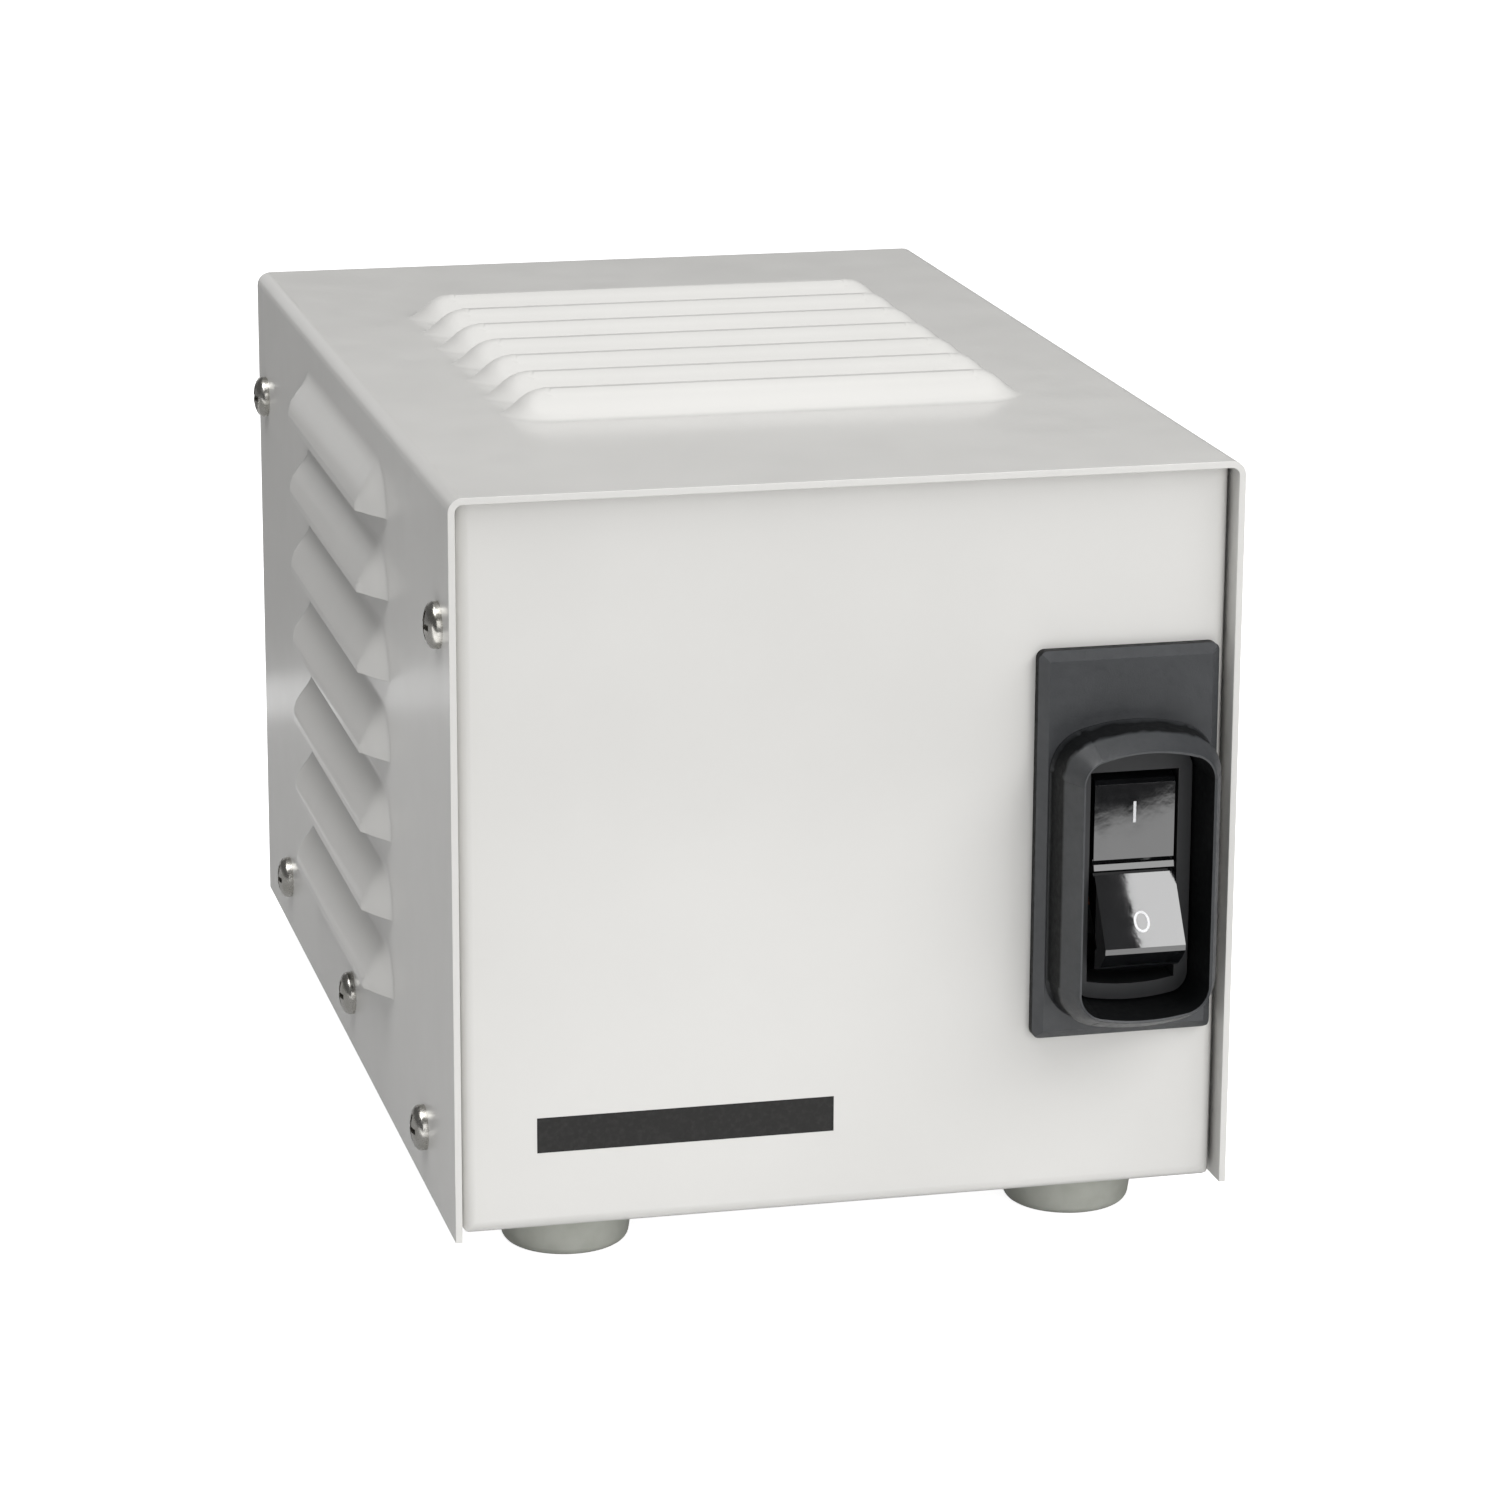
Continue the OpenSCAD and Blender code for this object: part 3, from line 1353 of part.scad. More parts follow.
module filter_capacitor() color("gold") in_frame() {
    translate([board_x + board_w / 4 - cap_w / 2, board_y - cap_d / 2, board_top]) cube([cap_w, cap_d, cap_h]);
}

// Earth stud on the floor

module earth_stud() color(plated) in_frame() translate([earth_x, earth_y, floor_z]) {
    rotate_extrude() polygon([
        [0, 0], [earth_flange_r, 0], [earth_flange_r, earth_flange_t], [earth_r, earth_flange_t],
        [earth_r, earth_h], [0, earth_h]]);
}

module earth_rings() color(copper) in_frame() {
    for (i = [0:ring_count - 1])
        translate([earth_x, earth_y, floor_z + earth_flange_t + i * ring_t]) rotate([0, 0, i * ring_turn])
            difference() {
                union() {
                    cylinder(r = ring_r, h = ring_t);
                    translate([0, -ring_tail_w / 2, 0]) cube([ring_tail, ring_tail_w, ring_t]);
                }
                translate([0, 0, -over]) cylinder(r = earth_r + bolt_gap, h = ring_t + 2 * over);
            }
}

module earth_nut() color(plated) in_frame()
    translate([earth_x, earth_y, floor_z + earth_flange_t + ring_count * ring_t]) hex_nut(earth_r, nut_h);

wrap_cover();
base_chassis();
foot_front_left();
foot_front_right();
foot_rear_left();
foot_rear_right();
foot_screws();
foot_nuts();
cover_screws();
switch_guard();
switch_housing();
switch_rocker();
switch_plunger();
plunger_spring();
contact_lever();
switch_contacts();
switch_terminals();
outlet_face();
outlet_body();
outlet_strap();
outlet_screws();
outlet_line_contacts();
outlet_neutral_contacts();
outlet_ground_contacts();
outlet_line_screws();
outlet_neutral_screws();
outlet_earth_screw();
cord_gland();
core_e_laminations();
core_i_laminations();
coil_bobbin();
primary_winding();
shield_foil();
secondary_winding();
coil_wrap();
front_core_bracket();
rear_core_bracket();
core_clamp_bars();
core_bolts();
core_washers();
core_nuts();
bracket_screws();
bracket_nuts();
terminal_block();
terminal_screws();
block_screws();
surge_board();
board_standoffs();
board_screws();
varistors();
filter_capacitor();
earth_stud();
earth_nut();
earth_rings();
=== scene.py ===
"""Isolation transformer: finishes, printed marks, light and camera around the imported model.

Lengths are in metres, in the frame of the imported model: X to the right, the front towards -Y, Z up.
"""
import json
from math import acos, cos, pi, radians, sin

import bmesh
import bpy
from mathutils import Matrix, Vector


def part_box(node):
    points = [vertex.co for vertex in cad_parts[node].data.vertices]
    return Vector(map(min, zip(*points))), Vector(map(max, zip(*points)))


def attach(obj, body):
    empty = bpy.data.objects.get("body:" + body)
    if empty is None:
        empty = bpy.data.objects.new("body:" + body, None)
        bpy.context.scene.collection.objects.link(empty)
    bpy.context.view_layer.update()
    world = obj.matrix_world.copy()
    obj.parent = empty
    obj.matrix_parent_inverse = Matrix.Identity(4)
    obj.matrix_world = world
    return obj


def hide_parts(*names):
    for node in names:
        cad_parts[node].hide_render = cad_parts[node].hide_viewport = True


MM = 0.001

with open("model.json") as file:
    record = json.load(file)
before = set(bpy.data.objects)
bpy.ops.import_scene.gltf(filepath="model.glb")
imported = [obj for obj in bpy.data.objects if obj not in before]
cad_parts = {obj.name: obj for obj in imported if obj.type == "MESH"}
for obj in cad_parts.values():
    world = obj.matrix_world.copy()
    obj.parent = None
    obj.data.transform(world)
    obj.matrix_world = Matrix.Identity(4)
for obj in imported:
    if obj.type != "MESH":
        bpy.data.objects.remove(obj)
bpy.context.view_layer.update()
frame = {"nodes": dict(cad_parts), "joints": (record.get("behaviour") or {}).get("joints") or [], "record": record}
nodes = frame["nodes"]
body_of_node = {n: b for b, names in frame["record"]["behaviour"]["bodies"].items() for n in names}
slot_of_node = {s["node"]: s["material_slot"] for s in frame["record"]["subparts"]}
rocker_axle = Vector(next(j["pos_m"] for j in frame["joints"] if j["name"] == "rocker_turn"))


# Camera: place, angle and lens solved from the case's edges in the photograph

CAMERA_PLACE = Vector((-219.5, -938.85, 329.5)) * MM
CAMERA_AZIMUTH = radians(-13.598)
CAMERA_ELEVATION = radians(15.393)
CAMERA_ROLL = radians(0.247)
LENS_MM = 124.73
SENSOR_MM = 36


def add_camera():
    data = bpy.data.cameras.new("camera")
    data.lens = LENS_MM
    data.sensor_width = SENSOR_MM
    camera = bpy.data.objects.new("camera", data)
    bpy.context.scene.collection.objects.link(camera)
    back = Vector((
        sin(CAMERA_AZIMUTH) * cos(CAMERA_ELEVATION),
        -cos(CAMERA_AZIMUTH) * cos(CAMERA_ELEVATION),
        sin(CAMERA_ELEVATION)))
    level = (-back).cross(Vector((0, 0, 1))).normalized()
    upright = level.cross(-back)
    right = level * cos(CAMERA_ROLL) + upright * sin(CAMERA_ROLL)
    up = upright * cos(CAMERA_ROLL) - level * sin(CAMERA_ROLL)
    turn = Matrix((right, up, back)).transposed().to_4x4()
    camera.matrix_world = Matrix.Translation(CAMERA_PLACE) @ turn
    bpy.context.scene.camera = camera


# Light and stage

LIGHT_TARGET = (0, 0, 0.07)

# Name, place, size and power in watts
SOFTBOXES = (
    ("front_softbox", (0.865, -0.76, 0.997), (1.0, 0.8), 10),
    ("low_front_softbox", (0.5, -2.15, 0.75), (1.7, 1.4), 17),
    ("left_softbox", (-0.55, -0.25, 1.55), (1.0, 1.0), 13.5),
    ("overhead_softbox", (0.1, 0.3, 1.8), (1.6, 1.6), 2.5),
    ("rear_softbox", (-0.2, 1.1, 0.28), (0.4, 0.3), 0.2))


def add_softbox(name, place, size, power):
    data = bpy.data.lights.new(name, "AREA")
    data.shape = "RECTANGLE"
    data.size, data.size_y = size
    data.energy = power
    light = bpy.data.objects.new(name, data)
    bpy.context.scene.collection.objects.link(light)
    aim = Vector(LIGHT_TARGET) - Vector(place)
    light.location = place
    light.visible_camera = False
    light.rotation_euler = aim.to_track_quat("-Z", "Y").to_euler()


WORLD_BRIGHTNESS = 0.15
ROOM_IN_REFLECTIONS = 0.12
FLOOR_SIZE = 6

# The studio floor as the object's gloss reflects it, painted as bands of glow that only glossy rays see: (y,
# brightness from there on), front to back
FLOOR_IN_REFLECTIONS = ((-9.0, 0.06), (-0.369, 1.6), (-0.12, 0.38), (0.28, 1.15), (0.318, 0.2))
FLOOR_EDGE_BLUR = 0.016
PAPER_COLOUR = (0.8, 0.8, 0.8, 1)
PAPER_ROUGHNESS = 0.9
PAPER_GLOW = 0.9


def by_ray(tree, kind, then, otherwise):
    """Mixes two shaders: one for the rays of one kind, one for all the others."""
    path = tree.nodes.new("ShaderNodeLightPath")
    mix = tree.nodes.new("ShaderNodeMixShader")
    tree.links.new(path.outputs[f"Is {kind} Ray"], mix.inputs[0])
    tree.links.new(otherwise, mix.inputs[1])
    tree.links.new(then, mix.inputs[2])
    return mix.outputs[0]


def plain_background(tree, brightness):
    background = tree.nodes.new("ShaderNodeBackground")
    background.inputs["Color"].default_value = (1, 1, 1, 1)
    background.inputs["Strength"].default_value = brightness
    return background.outputs[0]


def add_light():
    world = bpy.data.worlds.new("studio")
    world.use_nodes = True
    tree = world.node_tree
    lit = by_ray(tree, "Glossy", plain_background(tree, ROOM_IN_REFLECTIONS),
                 plain_background(tree, WORLD_BRIGHTNESS))
    seen = by_ray(tree, "Camera", plain_background(tree, 1), lit)
    tree.links.new(seen, tree.nodes["World Output"].inputs["Surface"])
    bpy.context.scene.world = world
    for softbox in SOFTBOXES:
        add_softbox(*softbox)
    bpy.context.scene.view_settings.view_transform = "Standard"


def floor_brightness(tree):
    """The steps of FLOOR_IN_REFLECTIONS, each as a short ramp, added up."""
    place = tree.nodes.new("ShaderNodeTexCoord").outputs["Object"]
    split = tree.nodes.new("ShaderNodeSeparateXYZ")
    tree.links.new(place, split.inputs[0])
    total, before = None, 0
    for y, brightness in FLOOR_IN_REFLECTIONS:
        step = tree.nodes.new("ShaderNodeMapRange")
        for socket, number in zip(("From Min", "From Max", "To Min", "To Max"),
                                  (y - FLOOR_EDGE_BLUR / 2, y + FLOOR_EDGE_BLUR / 2, 0, brightness - before)):
            step.inputs[socket].default_value = number
        tree.links.new(split.outputs["Y"], step.inputs["Value"])
        before = brightness
        if total is None:
            total = step.outputs["Result"]
            continue
        both = tree.nodes.new("ShaderNodeMath")
        both.operation = "ADD"
        tree.links.new(total, both.inputs[0])
        tree.links.new(step.outputs["Result"], both.inputs[1])
        total = both.outputs[0]
    return total


def add_floor():
    mesh = bpy.data.meshes.new("floor")
    half = FLOOR_SIZE / 2
    mesh.from_pydata([(-half, -half, 0), (half, -half, 0), (half, half, 0), (-half, half, 0)], [], [(0, 1, 2, 3)])
    floor = bpy.data.objects.new("floor", mesh)
    bpy.context.scene.collection.objects.link(floor)
    material = bpy.data.materials.new("floor_paper")
    material.use_nodes = True
    tree = material.node_tree
    paper = tree.nodes["Principled BSDF"]
    paper.inputs["Base Color"].default_value = PAPER_COLOUR
    paper.inputs["Roughness"].default_value = PAPER_ROUGHNESS
    lit_paper = tree.nodes.new("ShaderNodeEmission")
    lit_paper.inputs["Strength"].default_value = PAPER_GLOW
    both = tree.nodes.new("ShaderNodeAddShader")
    tree.links.new(paper.outputs[0], both.inputs[0])
    tree.links.new(lit_paper.outputs[0], both.inputs[1])
    # Painted reflections: for glossy rays the floor glows in the bands of FLOOR_IN_REFLECTIONS.
    reflection_glow = tree.nodes.new("ShaderNodeEmission")
    tree.links.new(floor_brightness(tree), reflection_glow.inputs["Strength"])
    lit = by_ray(tree, "Glossy", reflection_glow.outputs[0], paper.outputs[0])
    seen = by_ray(tree, "Camera", both.outputs[0], lit)
    tree.links.new(seen, tree.nodes["Material Output"].inputs["Surface"])
    mesh.materials.append(material)


# Materials. Colours are given as seen on a screen, from 0 to 255.

def linear(colour):
    return [c / 12.92 if c <= 0.04045 else ((c + 0.055) / 1.055) ** 2.4 for c in (v / 255 for v in colour)]


class Finish:
    """One procedural material: each method adds one thing that the real surface shows, but one of them paints shade
    onto walls turned from the front.
    """

    def __init__(self, name, colour, roughness, metallic=0.0, **sockets):
        self.name = name
        self.material = bpy.data.materials.new(name)
        self.material.use_nodes = True
        self.tree = self.material.node_tree
        self.shader = self.tree.nodes["Principled BSDF"]
        self.colour = linear(colour) + [1]
        self.roughness = roughness
        self.shader.inputs["Base Color"].default_value = self.colour
        self.shader.inputs["Roughness"].default_value = roughness
        self.shader.inputs["Metallic"].default_value = metallic
        for socket, value in sockets.items():
            self.shader.inputs[socket.replace("_", " ")].default_value = value
        self.place = self.tree.nodes.new("ShaderNodeTexCoord").outputs["Object"]
        self.normal = None

    def link(self, a, b):
        self.tree.links.new(a, b)

    def noise(self, size, detail=2.0, stretch=(1, 1, 1)):
        mapping = self.tree.nodes.new("ShaderNodeMapping")
        mapping.inputs["Scale"].default_value = [1 / s for s in stretch]
        texture = self.tree.nodes.new("ShaderNodeTexNoise")
        texture.inputs["Scale"].default_value = 1 / size
        texture.inputs["Detail"].default_value = detail
        self.link(self.place, mapping.inputs["Vector"])
        self.link(mapping.outputs["Vector"], texture.inputs["Vector"])
        return texture.outputs["Fac"]

    def bands(self, period, axis, distortion=0.0):
        texture = self.tree.nodes.new("ShaderNodeTexWave")
        texture.bands_direction = axis
        texture.inputs["Scale"].default_value = pi / (10 * period)
        texture.inputs["Distortion"].default_value = distortion
        self.link(self.place, texture.inputs["Vector"])
        return texture.outputs["Fac"]

    def remap(self, value, low, high, out_low, out_high):
        node = self.tree.nodes.new("ShaderNodeMapRange")
        for socket, number in zip(("From Min", "From Max", "To Min", "To Max"), (low, high, out_low, out_high)):
            node.inputs[socket].default_value = number
        self.link(value, node.inputs["Value"])
        return node.outputs["Result"]

    def tint(self, value, colour, low=0.35, high=0.65, amount=1.0):
        """Blends towards another colour where the value is high."""
        mix = self.tree.nodes.new("ShaderNodeMix")
        mix.data_type = "RGBA"
        was = self.shader.inputs["Base Color"]
        if was.is_linked:
            self.link(was.links[0].from_socket, mix.inputs["A"])
        else:
            mix.inputs["A"].default_value = self.colour
        mix.inputs["B"].default_value = linear(colour) + [1]
        self.link(self.remap(value, low, high, 0, amount), mix.inputs["Factor"])
        self.link(mix.outputs["Result"], was)
        return self

    def gloss(self, value, spread, low=0.3, high=0.7):
        """Lets the roughness wander either side of its mean."""
        result = self.remap(value, low, high, self.roughness - spread, self.roughness + spread)
        self.link(result, self.shader.inputs["Roughness"])
        return self

    def bump(self, value, height, strength=1.0):
        node = self.tree.nodes.new("ShaderNodeBump")
        node.inputs["Distance"].default_value = height
        node.inputs["Strength"].default_value = strength
        self.link(value, node.inputs["Height"])
        if self.normal:
            self.link(self.normal, node.inputs["Normal"])
        self.normal = node.outputs["Normal"]
        self.link(self.normal, self.shader.inputs["Normal"])
        return self

    def mottle(self, size, colour, low=0.4, high=0.75, detail=3):
        """Patches of another colour, of about the given size."""
        return self.tint(self.noise(size, detail), colour, low, high)

    def paint_side_wall_shade(self, colour, square, slanted, specular):
        """Painted shade: a darker colour and less shine on walls that turn their side to the front, standing in for
        the shade that falls on them. square and slanted are the shares of the normal that lie along Y where the
        change is full and where it ends."""
        split = self.tree.nodes.new("ShaderNodeSeparateXYZ")
        self.link(self.tree.nodes.new("ShaderNodeNewGeometry").outputs["Normal"], split.inputs[0])
        frontal = self.tree.nodes.new("ShaderNodeMath")
        frontal.operation = "ABSOLUTE"
        self.link(split.outputs["Y"], frontal.inputs[0])
        self.tint(frontal.outputs[0], colour, slanted, square)
        level = self.shader.inputs["Specular IOR Level"]
        self.link(self.remap(frontal.outputs[0], slanted, square, level.default_value, specular), level)
        return self

    def crown(self, middle, half, tilt):
        """Makes a flat face reflect as if it were slightly rounded across X."""
        split = self.tree.nodes.new("ShaderNodeSeparateXYZ")
        self.link(self.place, split.inputs[0])
        across = self.remap(split.outputs["X"], middle - half, middle + half, -tilt, tilt)
        lean = self.tree.nodes.new("ShaderNodeCombineXYZ")
        self.link(across, lean.inputs["X"])
        total = self.tree.nodes.new("ShaderNodeVectorMath")
        total.operation = "ADD"
        self.link(self.tree.nodes.new("ShaderNodeNewGeometry").outputs["Normal"], total.inputs[0])
        self.link(lean.outputs[0], total.inputs[1])
        even = self.tree.nodes.new("ShaderNodeVectorMath")
        even.operation = "NORMALIZE"
        self.link(total.outputs[0], even.inputs[0])
        self.normal = even.outputs[0]
        self.link(self.normal, self.shader.inputs["Normal"])
        return self


def case_paint():
    f = Finish("case_paint", (223, 222, 219), 0.36, IOR=1.5, Coat_Weight=0.35, Coat_Roughness=0.14)
    f.mottle(60 * MM, (219, 218, 215))
    f.gloss(f.noise(9 * MM, 3), 0.04)
    f.bump(f.noise(1.6 * MM, 2), 0.012 * MM)
    f.bump(f.noise(0.35 * MM, 2), 0.004 * MM)
    return f


def foot_rubber():
    f = Finish("foot_rubber", (184, 186, 178), 0.62, IOR=1.45)
    f.mottle(4 * MM, (172, 174, 165), high=0.8)
    f.bump(f.noise(0.4 * MM, 3), 0.02 * MM)
    return f


def plated_steel():
    f = Finish("plated_steel", (205, 203, 198), 0.27, 1.0)
    f.mottle(3 * MM, (182, 180, 172))
    f.gloss(f.noise(0.8 * MM, 3), 0.08)
    f.bump(f.noise(0.3 * MM, 2, (1, 1, 4)), 0.004 * MM)
    return f


def guard_plastic():
    f = Finish("guard_plastic", (48, 50, 53), 0.42, IOR=1.47, Specular_IOR_Level=0.7)
    f.mottle(8 * MM, (55, 57, 60))
    # Painted shade: every wall of the guard that turns its side to the front gets a darker colour and less shine.
    f.paint_side_wall_shade((20, 21, 22), square=0.15, slanted=0.4, specular=0.08)
    f.gloss(f.noise(1.2 * MM, 3), 0.07)
    f.bump(f.noise(0.28 * MM, 3), 0.02 * MM)
    return f


def switch_plastic():
    f = Finish("switch_plastic", (44, 45, 47), 0.42, IOR=1.47)
    f.mottle(5 * MM, (50, 51, 53))
    f.bump(f.noise(0.3 * MM, 3), 0.012 * MM)
    return f


ROCKER_HALF_WIDTH = 6.5 * MM


def rocker_gloss():
    f = Finish("rocker_gloss", (16, 17, 19), 0.05, IOR=2.15)
    f.crown(rocker_axle.x, ROCKER_HALF_WIDTH, tilt=0.05)
    f.mottle(6 * MM, (22, 23, 25), detail=2)
    f.gloss(f.noise(2.5 * MM, 3), 0.015)
    f.bump(f.noise(5 * MM, 1), 0.014 * MM)
    f.bump(f.noise(1.5 * MM, 2), 0.004 * MM)
    return f


def nylon():
    f = Finish("nylon", (233, 228, 210), 0.45, Subsurface_Weight=0.15, Subsurface_Scale=1 * MM)
    f.mottle(7 * MM, (224, 218, 198))
    f.bump(f.noise(0.5 * MM, 2), 0.01 * MM)
    return f


def outlet_plastic():
    f = Finish("outlet_plastic", (226, 219, 198), 0.3, IOR=1.5)
    f.mottle(12 * MM, (220, 212, 190))
    f.gloss(f.noise(2 * MM, 3), 0.05)
    f.bump(f.noise(0.5 * MM, 2), 0.006 * MM)
    return f


def brass():
    f = Finish("brass", (214, 176, 98), 0.3, 1.0)
    f.mottle(3 * MM, (190, 150, 78))
    f.gloss(f.noise(0.7 * MM, 3), 0.08)
    f.bump(f.noise(0.3 * MM, 2), 0.004 * MM)
    return f


def copper():
    f = Finish("copper", (196, 116, 74), 0.3, 1.0, Coat_Weight=0.5, Coat_Roughness=0.15)
    turns = f.bands(1.1 * MM, "Z", 0.4)
    # Painted shade: the copper is darker in the grooves between the turns.
    f.tint(turns, (120, 62, 36), 0.0, 0.5, 0.6)
    f.bump(turns, 0.2 * MM)
    return f


def green_screw():
    f = Finish("green_screw", (44, 120, 62), 0.32, 0.7)
    f.mottle(1.5 * MM, (32, 98, 50))
    f.bump(f.noise(0.3 * MM, 2), 0.004 * MM)
    return f


def core_steel():
    f = Finish("core_steel", (92, 94, 98), 0.45, 0.6, Coat_Weight=0.3, Coat_Roughness=0.3)
    sheets = f.bands(0.5 * MM, "Y", 0.3)
    f.tint(sheets, (46, 46, 50), 0.0, 0.6, 0.8)
    f.tint(f.noise(14 * MM, 4), (120, 92, 62), 0.55, 0.85, 0.5)
    f.bump(sheets, 0.06 * MM)
    return f


def coil_tape():
    f = Finish("coil_tape", (224, 186, 74), 0.25, Coat_Weight=0.4, Coat_Roughness=0.1)
    f.mottle(10 * MM, (206, 166, 60), high=0.7, detail=2)
    f.bump(f.noise(6 * MM, 2, (1, 1, 5)), 0.15 * MM)
    return f


def board():
    f = Finish("board", (30, 104, 56), 0.3, Coat_Weight=0.5, Coat_Roughness=0.1)
    f.mottle(4 * MM, (40, 124, 66), low=0.48, high=0.54, detail=2)
    f.bump(f.noise(1 * MM, 2), 0.01 * MM)
    return f


def blue_coating():
    f = Finish("blue_coating", (38, 74, 140), 0.3, Coat_Weight=0.4, Coat_Roughness=0.15)
    f.mottle(3 * MM, (30, 60, 120), high=0.7)
    f.bump(f.noise(1.5 * MM, 2), 0.05 * MM)
    return f


def print_ink(name, colour):
    """Screen-printed ink: even, a little rougher than the paint below it, with faint lighter specks."""
    f = Finish(name, colour, 0.45, Specular_IOR_Level=0.3)
    f.mottle(0.8 * MM, [min(255, c + 12) for c in colour], low=0.45, high=0.8)
    f.gloss(f.noise(0.5 * MM, 2), 0.06)
    f.bump(f.noise(0.3 * MM, 2), 0.003 * MM)
    return f


FINISHES = {f.name: f.material for f in (
    case_paint(), foot_rubber(), plated_steel(), guard_plastic(), switch_plastic(), rocker_gloss(), nylon(),
    outlet_plastic(), brass(), copper(), green_screw(), core_steel(), coil_tape(), board(), blue_coating())}


# Pieces

def dress(obj, slot):
    """Gives an object its slot's material."""
    obj.data.materials.clear()
    obj.data.materials.append(FINISHES[slot])
    for polygon in obj.data.polygons:
        polygon.material_index = 0


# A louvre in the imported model: a rounded rise, full near the lip. Pressed steel is nearer to a straight ramp.
LOUVRE_RISE = 4.5 * MM
LOUVRE_SINK = 0.05 * MM
LOUVRE_FULLNESS = 1.5
LOUVRE_SHEET = 1.1 * MM
LOUVRE_REACH = 10 * MM
LOUVRE_HALF_STRAIGHT = 39 * MM
RAMP_FLARE = 1.15
RAMP_SHARE = 0.6
ON_THE_SHEET = 0.01 * MM


def flared(height, along):
    """The height above the sheet that a point of the louvre's skin gets for the one that it has: part of the way to
    the ramp. It goes back to the rounded rise towards the ends; along is the place on the louvre's length, from
    its middle."""
    share = (height + LOUVRE_SINK) / (LOUVRE_RISE + LOUVRE_SINK)
    from_lip = (acos(2 * share - 1) / pi) ** (1 / LOUVRE_FULLNESS)
    ramp = LOUVRE_RISE * (1 - from_lip) ** RAMP_FLARE
    turned = min(1, max(0, abs(along) - LOUVRE_HALF_STRAIGHT) / (LOUVRE_REACH * from_lip))
    return height + RAMP_SHARE * (ramp - height) * (1 - turned ** 2)


def flare_louvres(form):
    """Moves the skins of the cover's louvres towards ramps. Their lips and feet stay where they are."""
    low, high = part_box("wrap_cover")
    form.normal_update()
    moves = []
    for vert in form.verts:
        for axis, side in ((0, 1), (0, -1), (2, 1)):
            flat = (high[axis] if side > 0 else -low[axis]) - LOUVRE_RISE
            height = side * vert.co[axis] - flat
            if abs(height) < ON_THE_SHEET:
                continue
            if side * vert.normal[axis] < 0:
                height += LOUVRE_SHEET
            if LOUVRE_SINK < height < LOUVRE_RISE - LOUVRE_SINK:
                moves.append((vert, axis, side * (flared(height, vert.co[1 if axis == 0 else 0]) - height)))
    for vert, axis, move in moves:
        vert.co[axis] += move


WELD_DISTANCE = 0.004 * MM
FLAT_ANGLE = 0.4
BEVEL_STEPS = 2
FULL_WEIGHT = 100


def refine(node, smooth_angle=32, edge=None, edge_angle=35, reshape=None):
    """Stands in for a node with its own mesh, welded and shaded smooth: reshape may move its points, and edge is the
    width by which its sharp edges are broken. Angles are in degrees."""
    mesh = nodes[node].data.copy()
    mesh.name = f"{node}_refined"
    form = bmesh.new()
    form.from_mesh(mesh)
    bmesh.ops.remove_doubles(form, verts=form.verts, dist=WELD_DISTANCE)
    if reshape:
        reshape(form)
    bmesh.ops.dissolve_limit(form, angle_limit=radians(FLAT_ANGLE), verts=form.verts, edges=form.edges)
    form.to_mesh(mesh)
    form.free()
    if "custom_normal" in mesh.attributes:
        mesh.attributes.remove(mesh.attributes["custom_normal"])
    piece = bpy.data.objects.new(mesh.name, mesh)
    bpy.context.scene.collection.objects.link(piece)
    dress(piece, slot_of_node[node])
    mesh.shade_smooth()
    mesh.set_sharp_from_angle(angle=radians(smooth_angle))
    if edge:
        bevel = piece.modifiers.new("broken_edges", "BEVEL")
        bevel.width = edge
        bevel.segments = BEVEL_STEPS
        bevel.limit_method = "ANGLE"
        bevel.angle_limit = radians(edge_angle)
        bevel.use_clamp_overlap = True
        bevel.harden_normals = True
    evened = piece.modifiers.new("even_flats", "WEIGHTED_NORMAL")
    evened.weight = FULL_WEIGHT
    evened.keep_sharp = True
    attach(piece, body_of_node[node])
    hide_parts(node)


def add_piece(name, verts, faces, material, body):
    mesh = bpy.data.meshes.new(name)
    mesh.from_pydata(verts, [], faces)
    mesh.materials.append(material)
    mesh.validate()
    piece = bpy.data.objects.new(name, mesh)
    bpy.context.scene.collection.objects.link(piece)
    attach(piece, body)


def finish_nodes():
    for name, obj in nodes.items():
        dress(obj, slot_of_node[name])
    refine("wrap_cover", smooth_angle=45, edge=0.12 * MM, edge_angle=60, reshape=flare_louvres)
    refine("base_chassis")
    refine("switch_guard", smooth_angle=40, edge=0.25 * MM, edge_angle=30)
    refine("switch_housing", edge=0.15 * MM)
    refine("switch_rocker", edge=0.45 * MM)
    for foot in ("foot_front_left", "foot_front_right", "foot_rear_left", "foot_rear_right"):
        refine(foot, smooth_angle=40)
    refine("cover_screws", smooth_angle=30)
    refine("outlet_face", edge=0.25 * MM)


# Printed marks. A mark is a thin closed plate, its back just inside the surface that it is printed on.

INK_BACK = 0.02 * MM
INK_FRONT = 0.03 * MM


def add_print(name, loops, to_place, material, body):
    """loops is the outline, and the hole's outline if there is one, with as many points; to_place(x, y, height)
    puts a point of the drawing on the surface."""
    n = len(loops[0])
    verts = [to_place(x, y, h) for loop in loops for h in (-INK_BACK, INK_FRONT) for x, y in loop]
    ring = [(i, (i + 1) % n) for i in range(n)]
    faces = [(a, b, n + b, n + a) for a, b in ring]
    if len(loops) == 1:
        faces += [tuple(range(n - 1, -1, -1)), tuple(range(n, 2 * n))]
    else:
        faces += [(2 * n + b, 2 * n + a, 3 * n + a, 3 * n + b) for a, b in ring]
        faces += [(b, a, 2 * n + a, 2 * n + b) for a, b in ring]
        faces += [(n + a, n + b, 3 * n + b, 3 * n + a) for a, b in ring]
    add_piece(name, verts, faces, material, body)


def rectangle(w, h):
    return [(-w / 2, -h / 2), (w / 2, -h / 2), (w / 2, h / 2), (-w / 2, h / 2)]


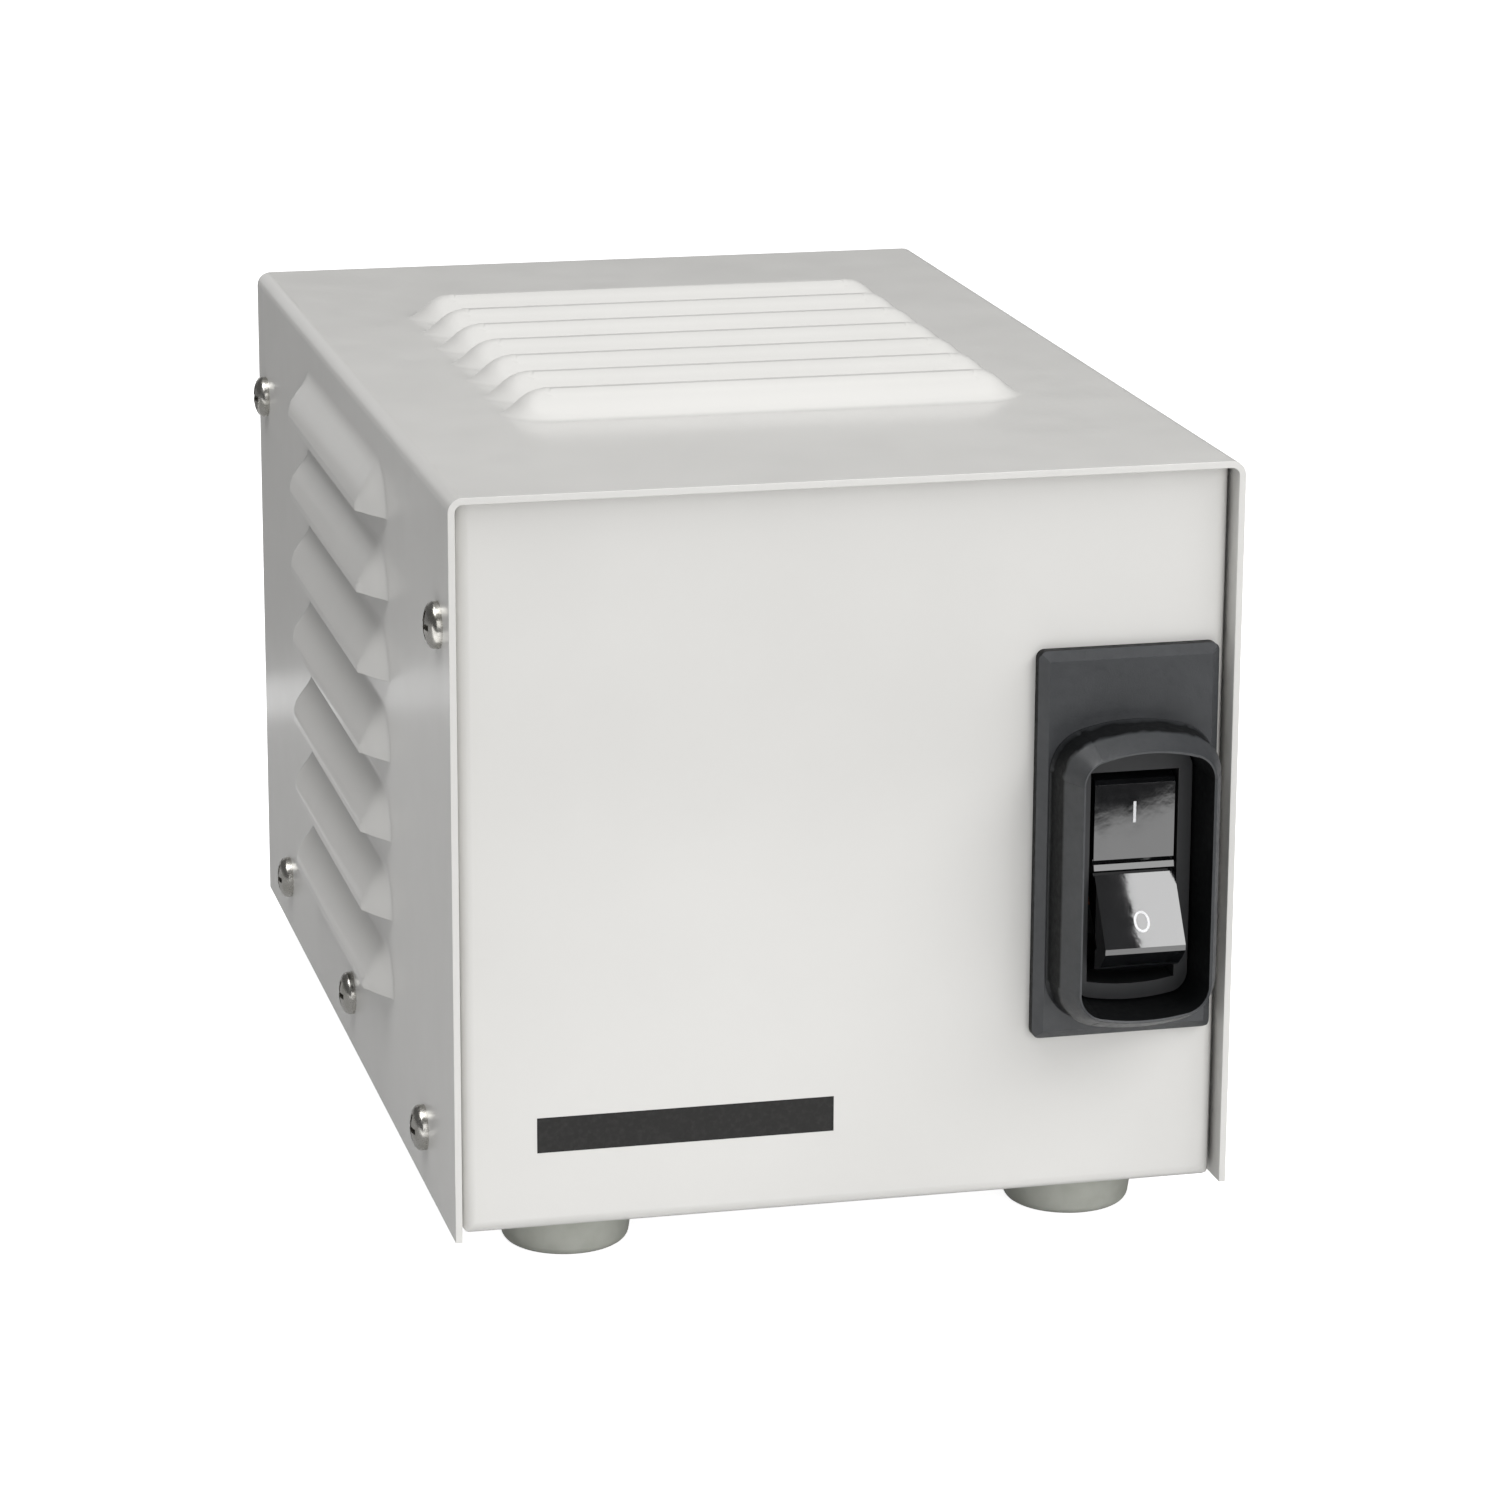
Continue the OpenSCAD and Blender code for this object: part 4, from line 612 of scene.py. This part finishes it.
def ellipse(w, h, steps=48):
    return [(w / 2 * cos(2 * pi * i / steps), h / 2 * sin(2 * pi * i / steps)) for i in range(steps)]


ROCKER_TILT = radians(16.5)
ROCKER_VALLEY = 6.5 * MM
MARK_I_SIZE = (0.5 * MM, 3.8 * MM)
MARK_I_UP = 9.8 * MM
MARK_O_SIZE = (2.9 * MM, 3.9 * MM)
MARK_O_STROKE = 0.42 * MM
MARK_O_DOWN = 10.2 * MM


def on_upper_face(x, y, height):
    """The rocker's upper face stands upright at rest; y is counted up from the valley."""
    return rocker_axle + Vector((
        x, -ROCKER_VALLEY * cos(ROCKER_TILT) - height, ROCKER_VALLEY * sin(ROCKER_TILT) + y))


def on_lower_face(x, y, height):
    """y is counted from the valley along the face, upwards, so it is below zero on the face."""
    out = ROCKER_VALLEY * cos(ROCKER_TILT) - y * sin(2 * ROCKER_TILT) + height * cos(2 * ROCKER_TILT)
    up = ROCKER_VALLEY * sin(ROCKER_TILT) + y * cos(2 * ROCKER_TILT) + height * sin(2 * ROCKER_TILT)
    return rocker_axle + Vector((x, -out, up))


def add_rocker_marks():
    white = print_ink("mark_white", (242, 243, 245)).material
    add_print("mark_i", [rectangle(*MARK_I_SIZE)],
              lambda x, y, h: on_upper_face(x, y + MARK_I_UP, h), white, "rocker")
    inner = [s - 2 * MARK_O_STROKE for s in MARK_O_SIZE]
    add_print("mark_o", [ellipse(*MARK_O_SIZE), ellipse(*inner)],
              lambda x, y, h: on_lower_face(x, y - MARK_O_DOWN, h), white, "rocker")


# A plain dark bar, low on the front panel
BAR_SIZE = (53.1 * MM, 6.4 * MM)
BAR_CENTRE = (-28.4 * MM, 25.5 * MM)


def add_front_bar():
    panel_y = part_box("base_chassis")[0].y
    x0, z0 = BAR_CENTRE
    add_print("front_bar", [rectangle(*BAR_SIZE)],
              lambda x, y, h: Vector((x0 + x, panel_y - h, z0 + y)),
              print_ink("bar_ink", (26, 25, 24)).material, "case")


add_camera()
add_light()
add_floor()
finish_nodes()
add_rocker_marks()
add_front_bar()
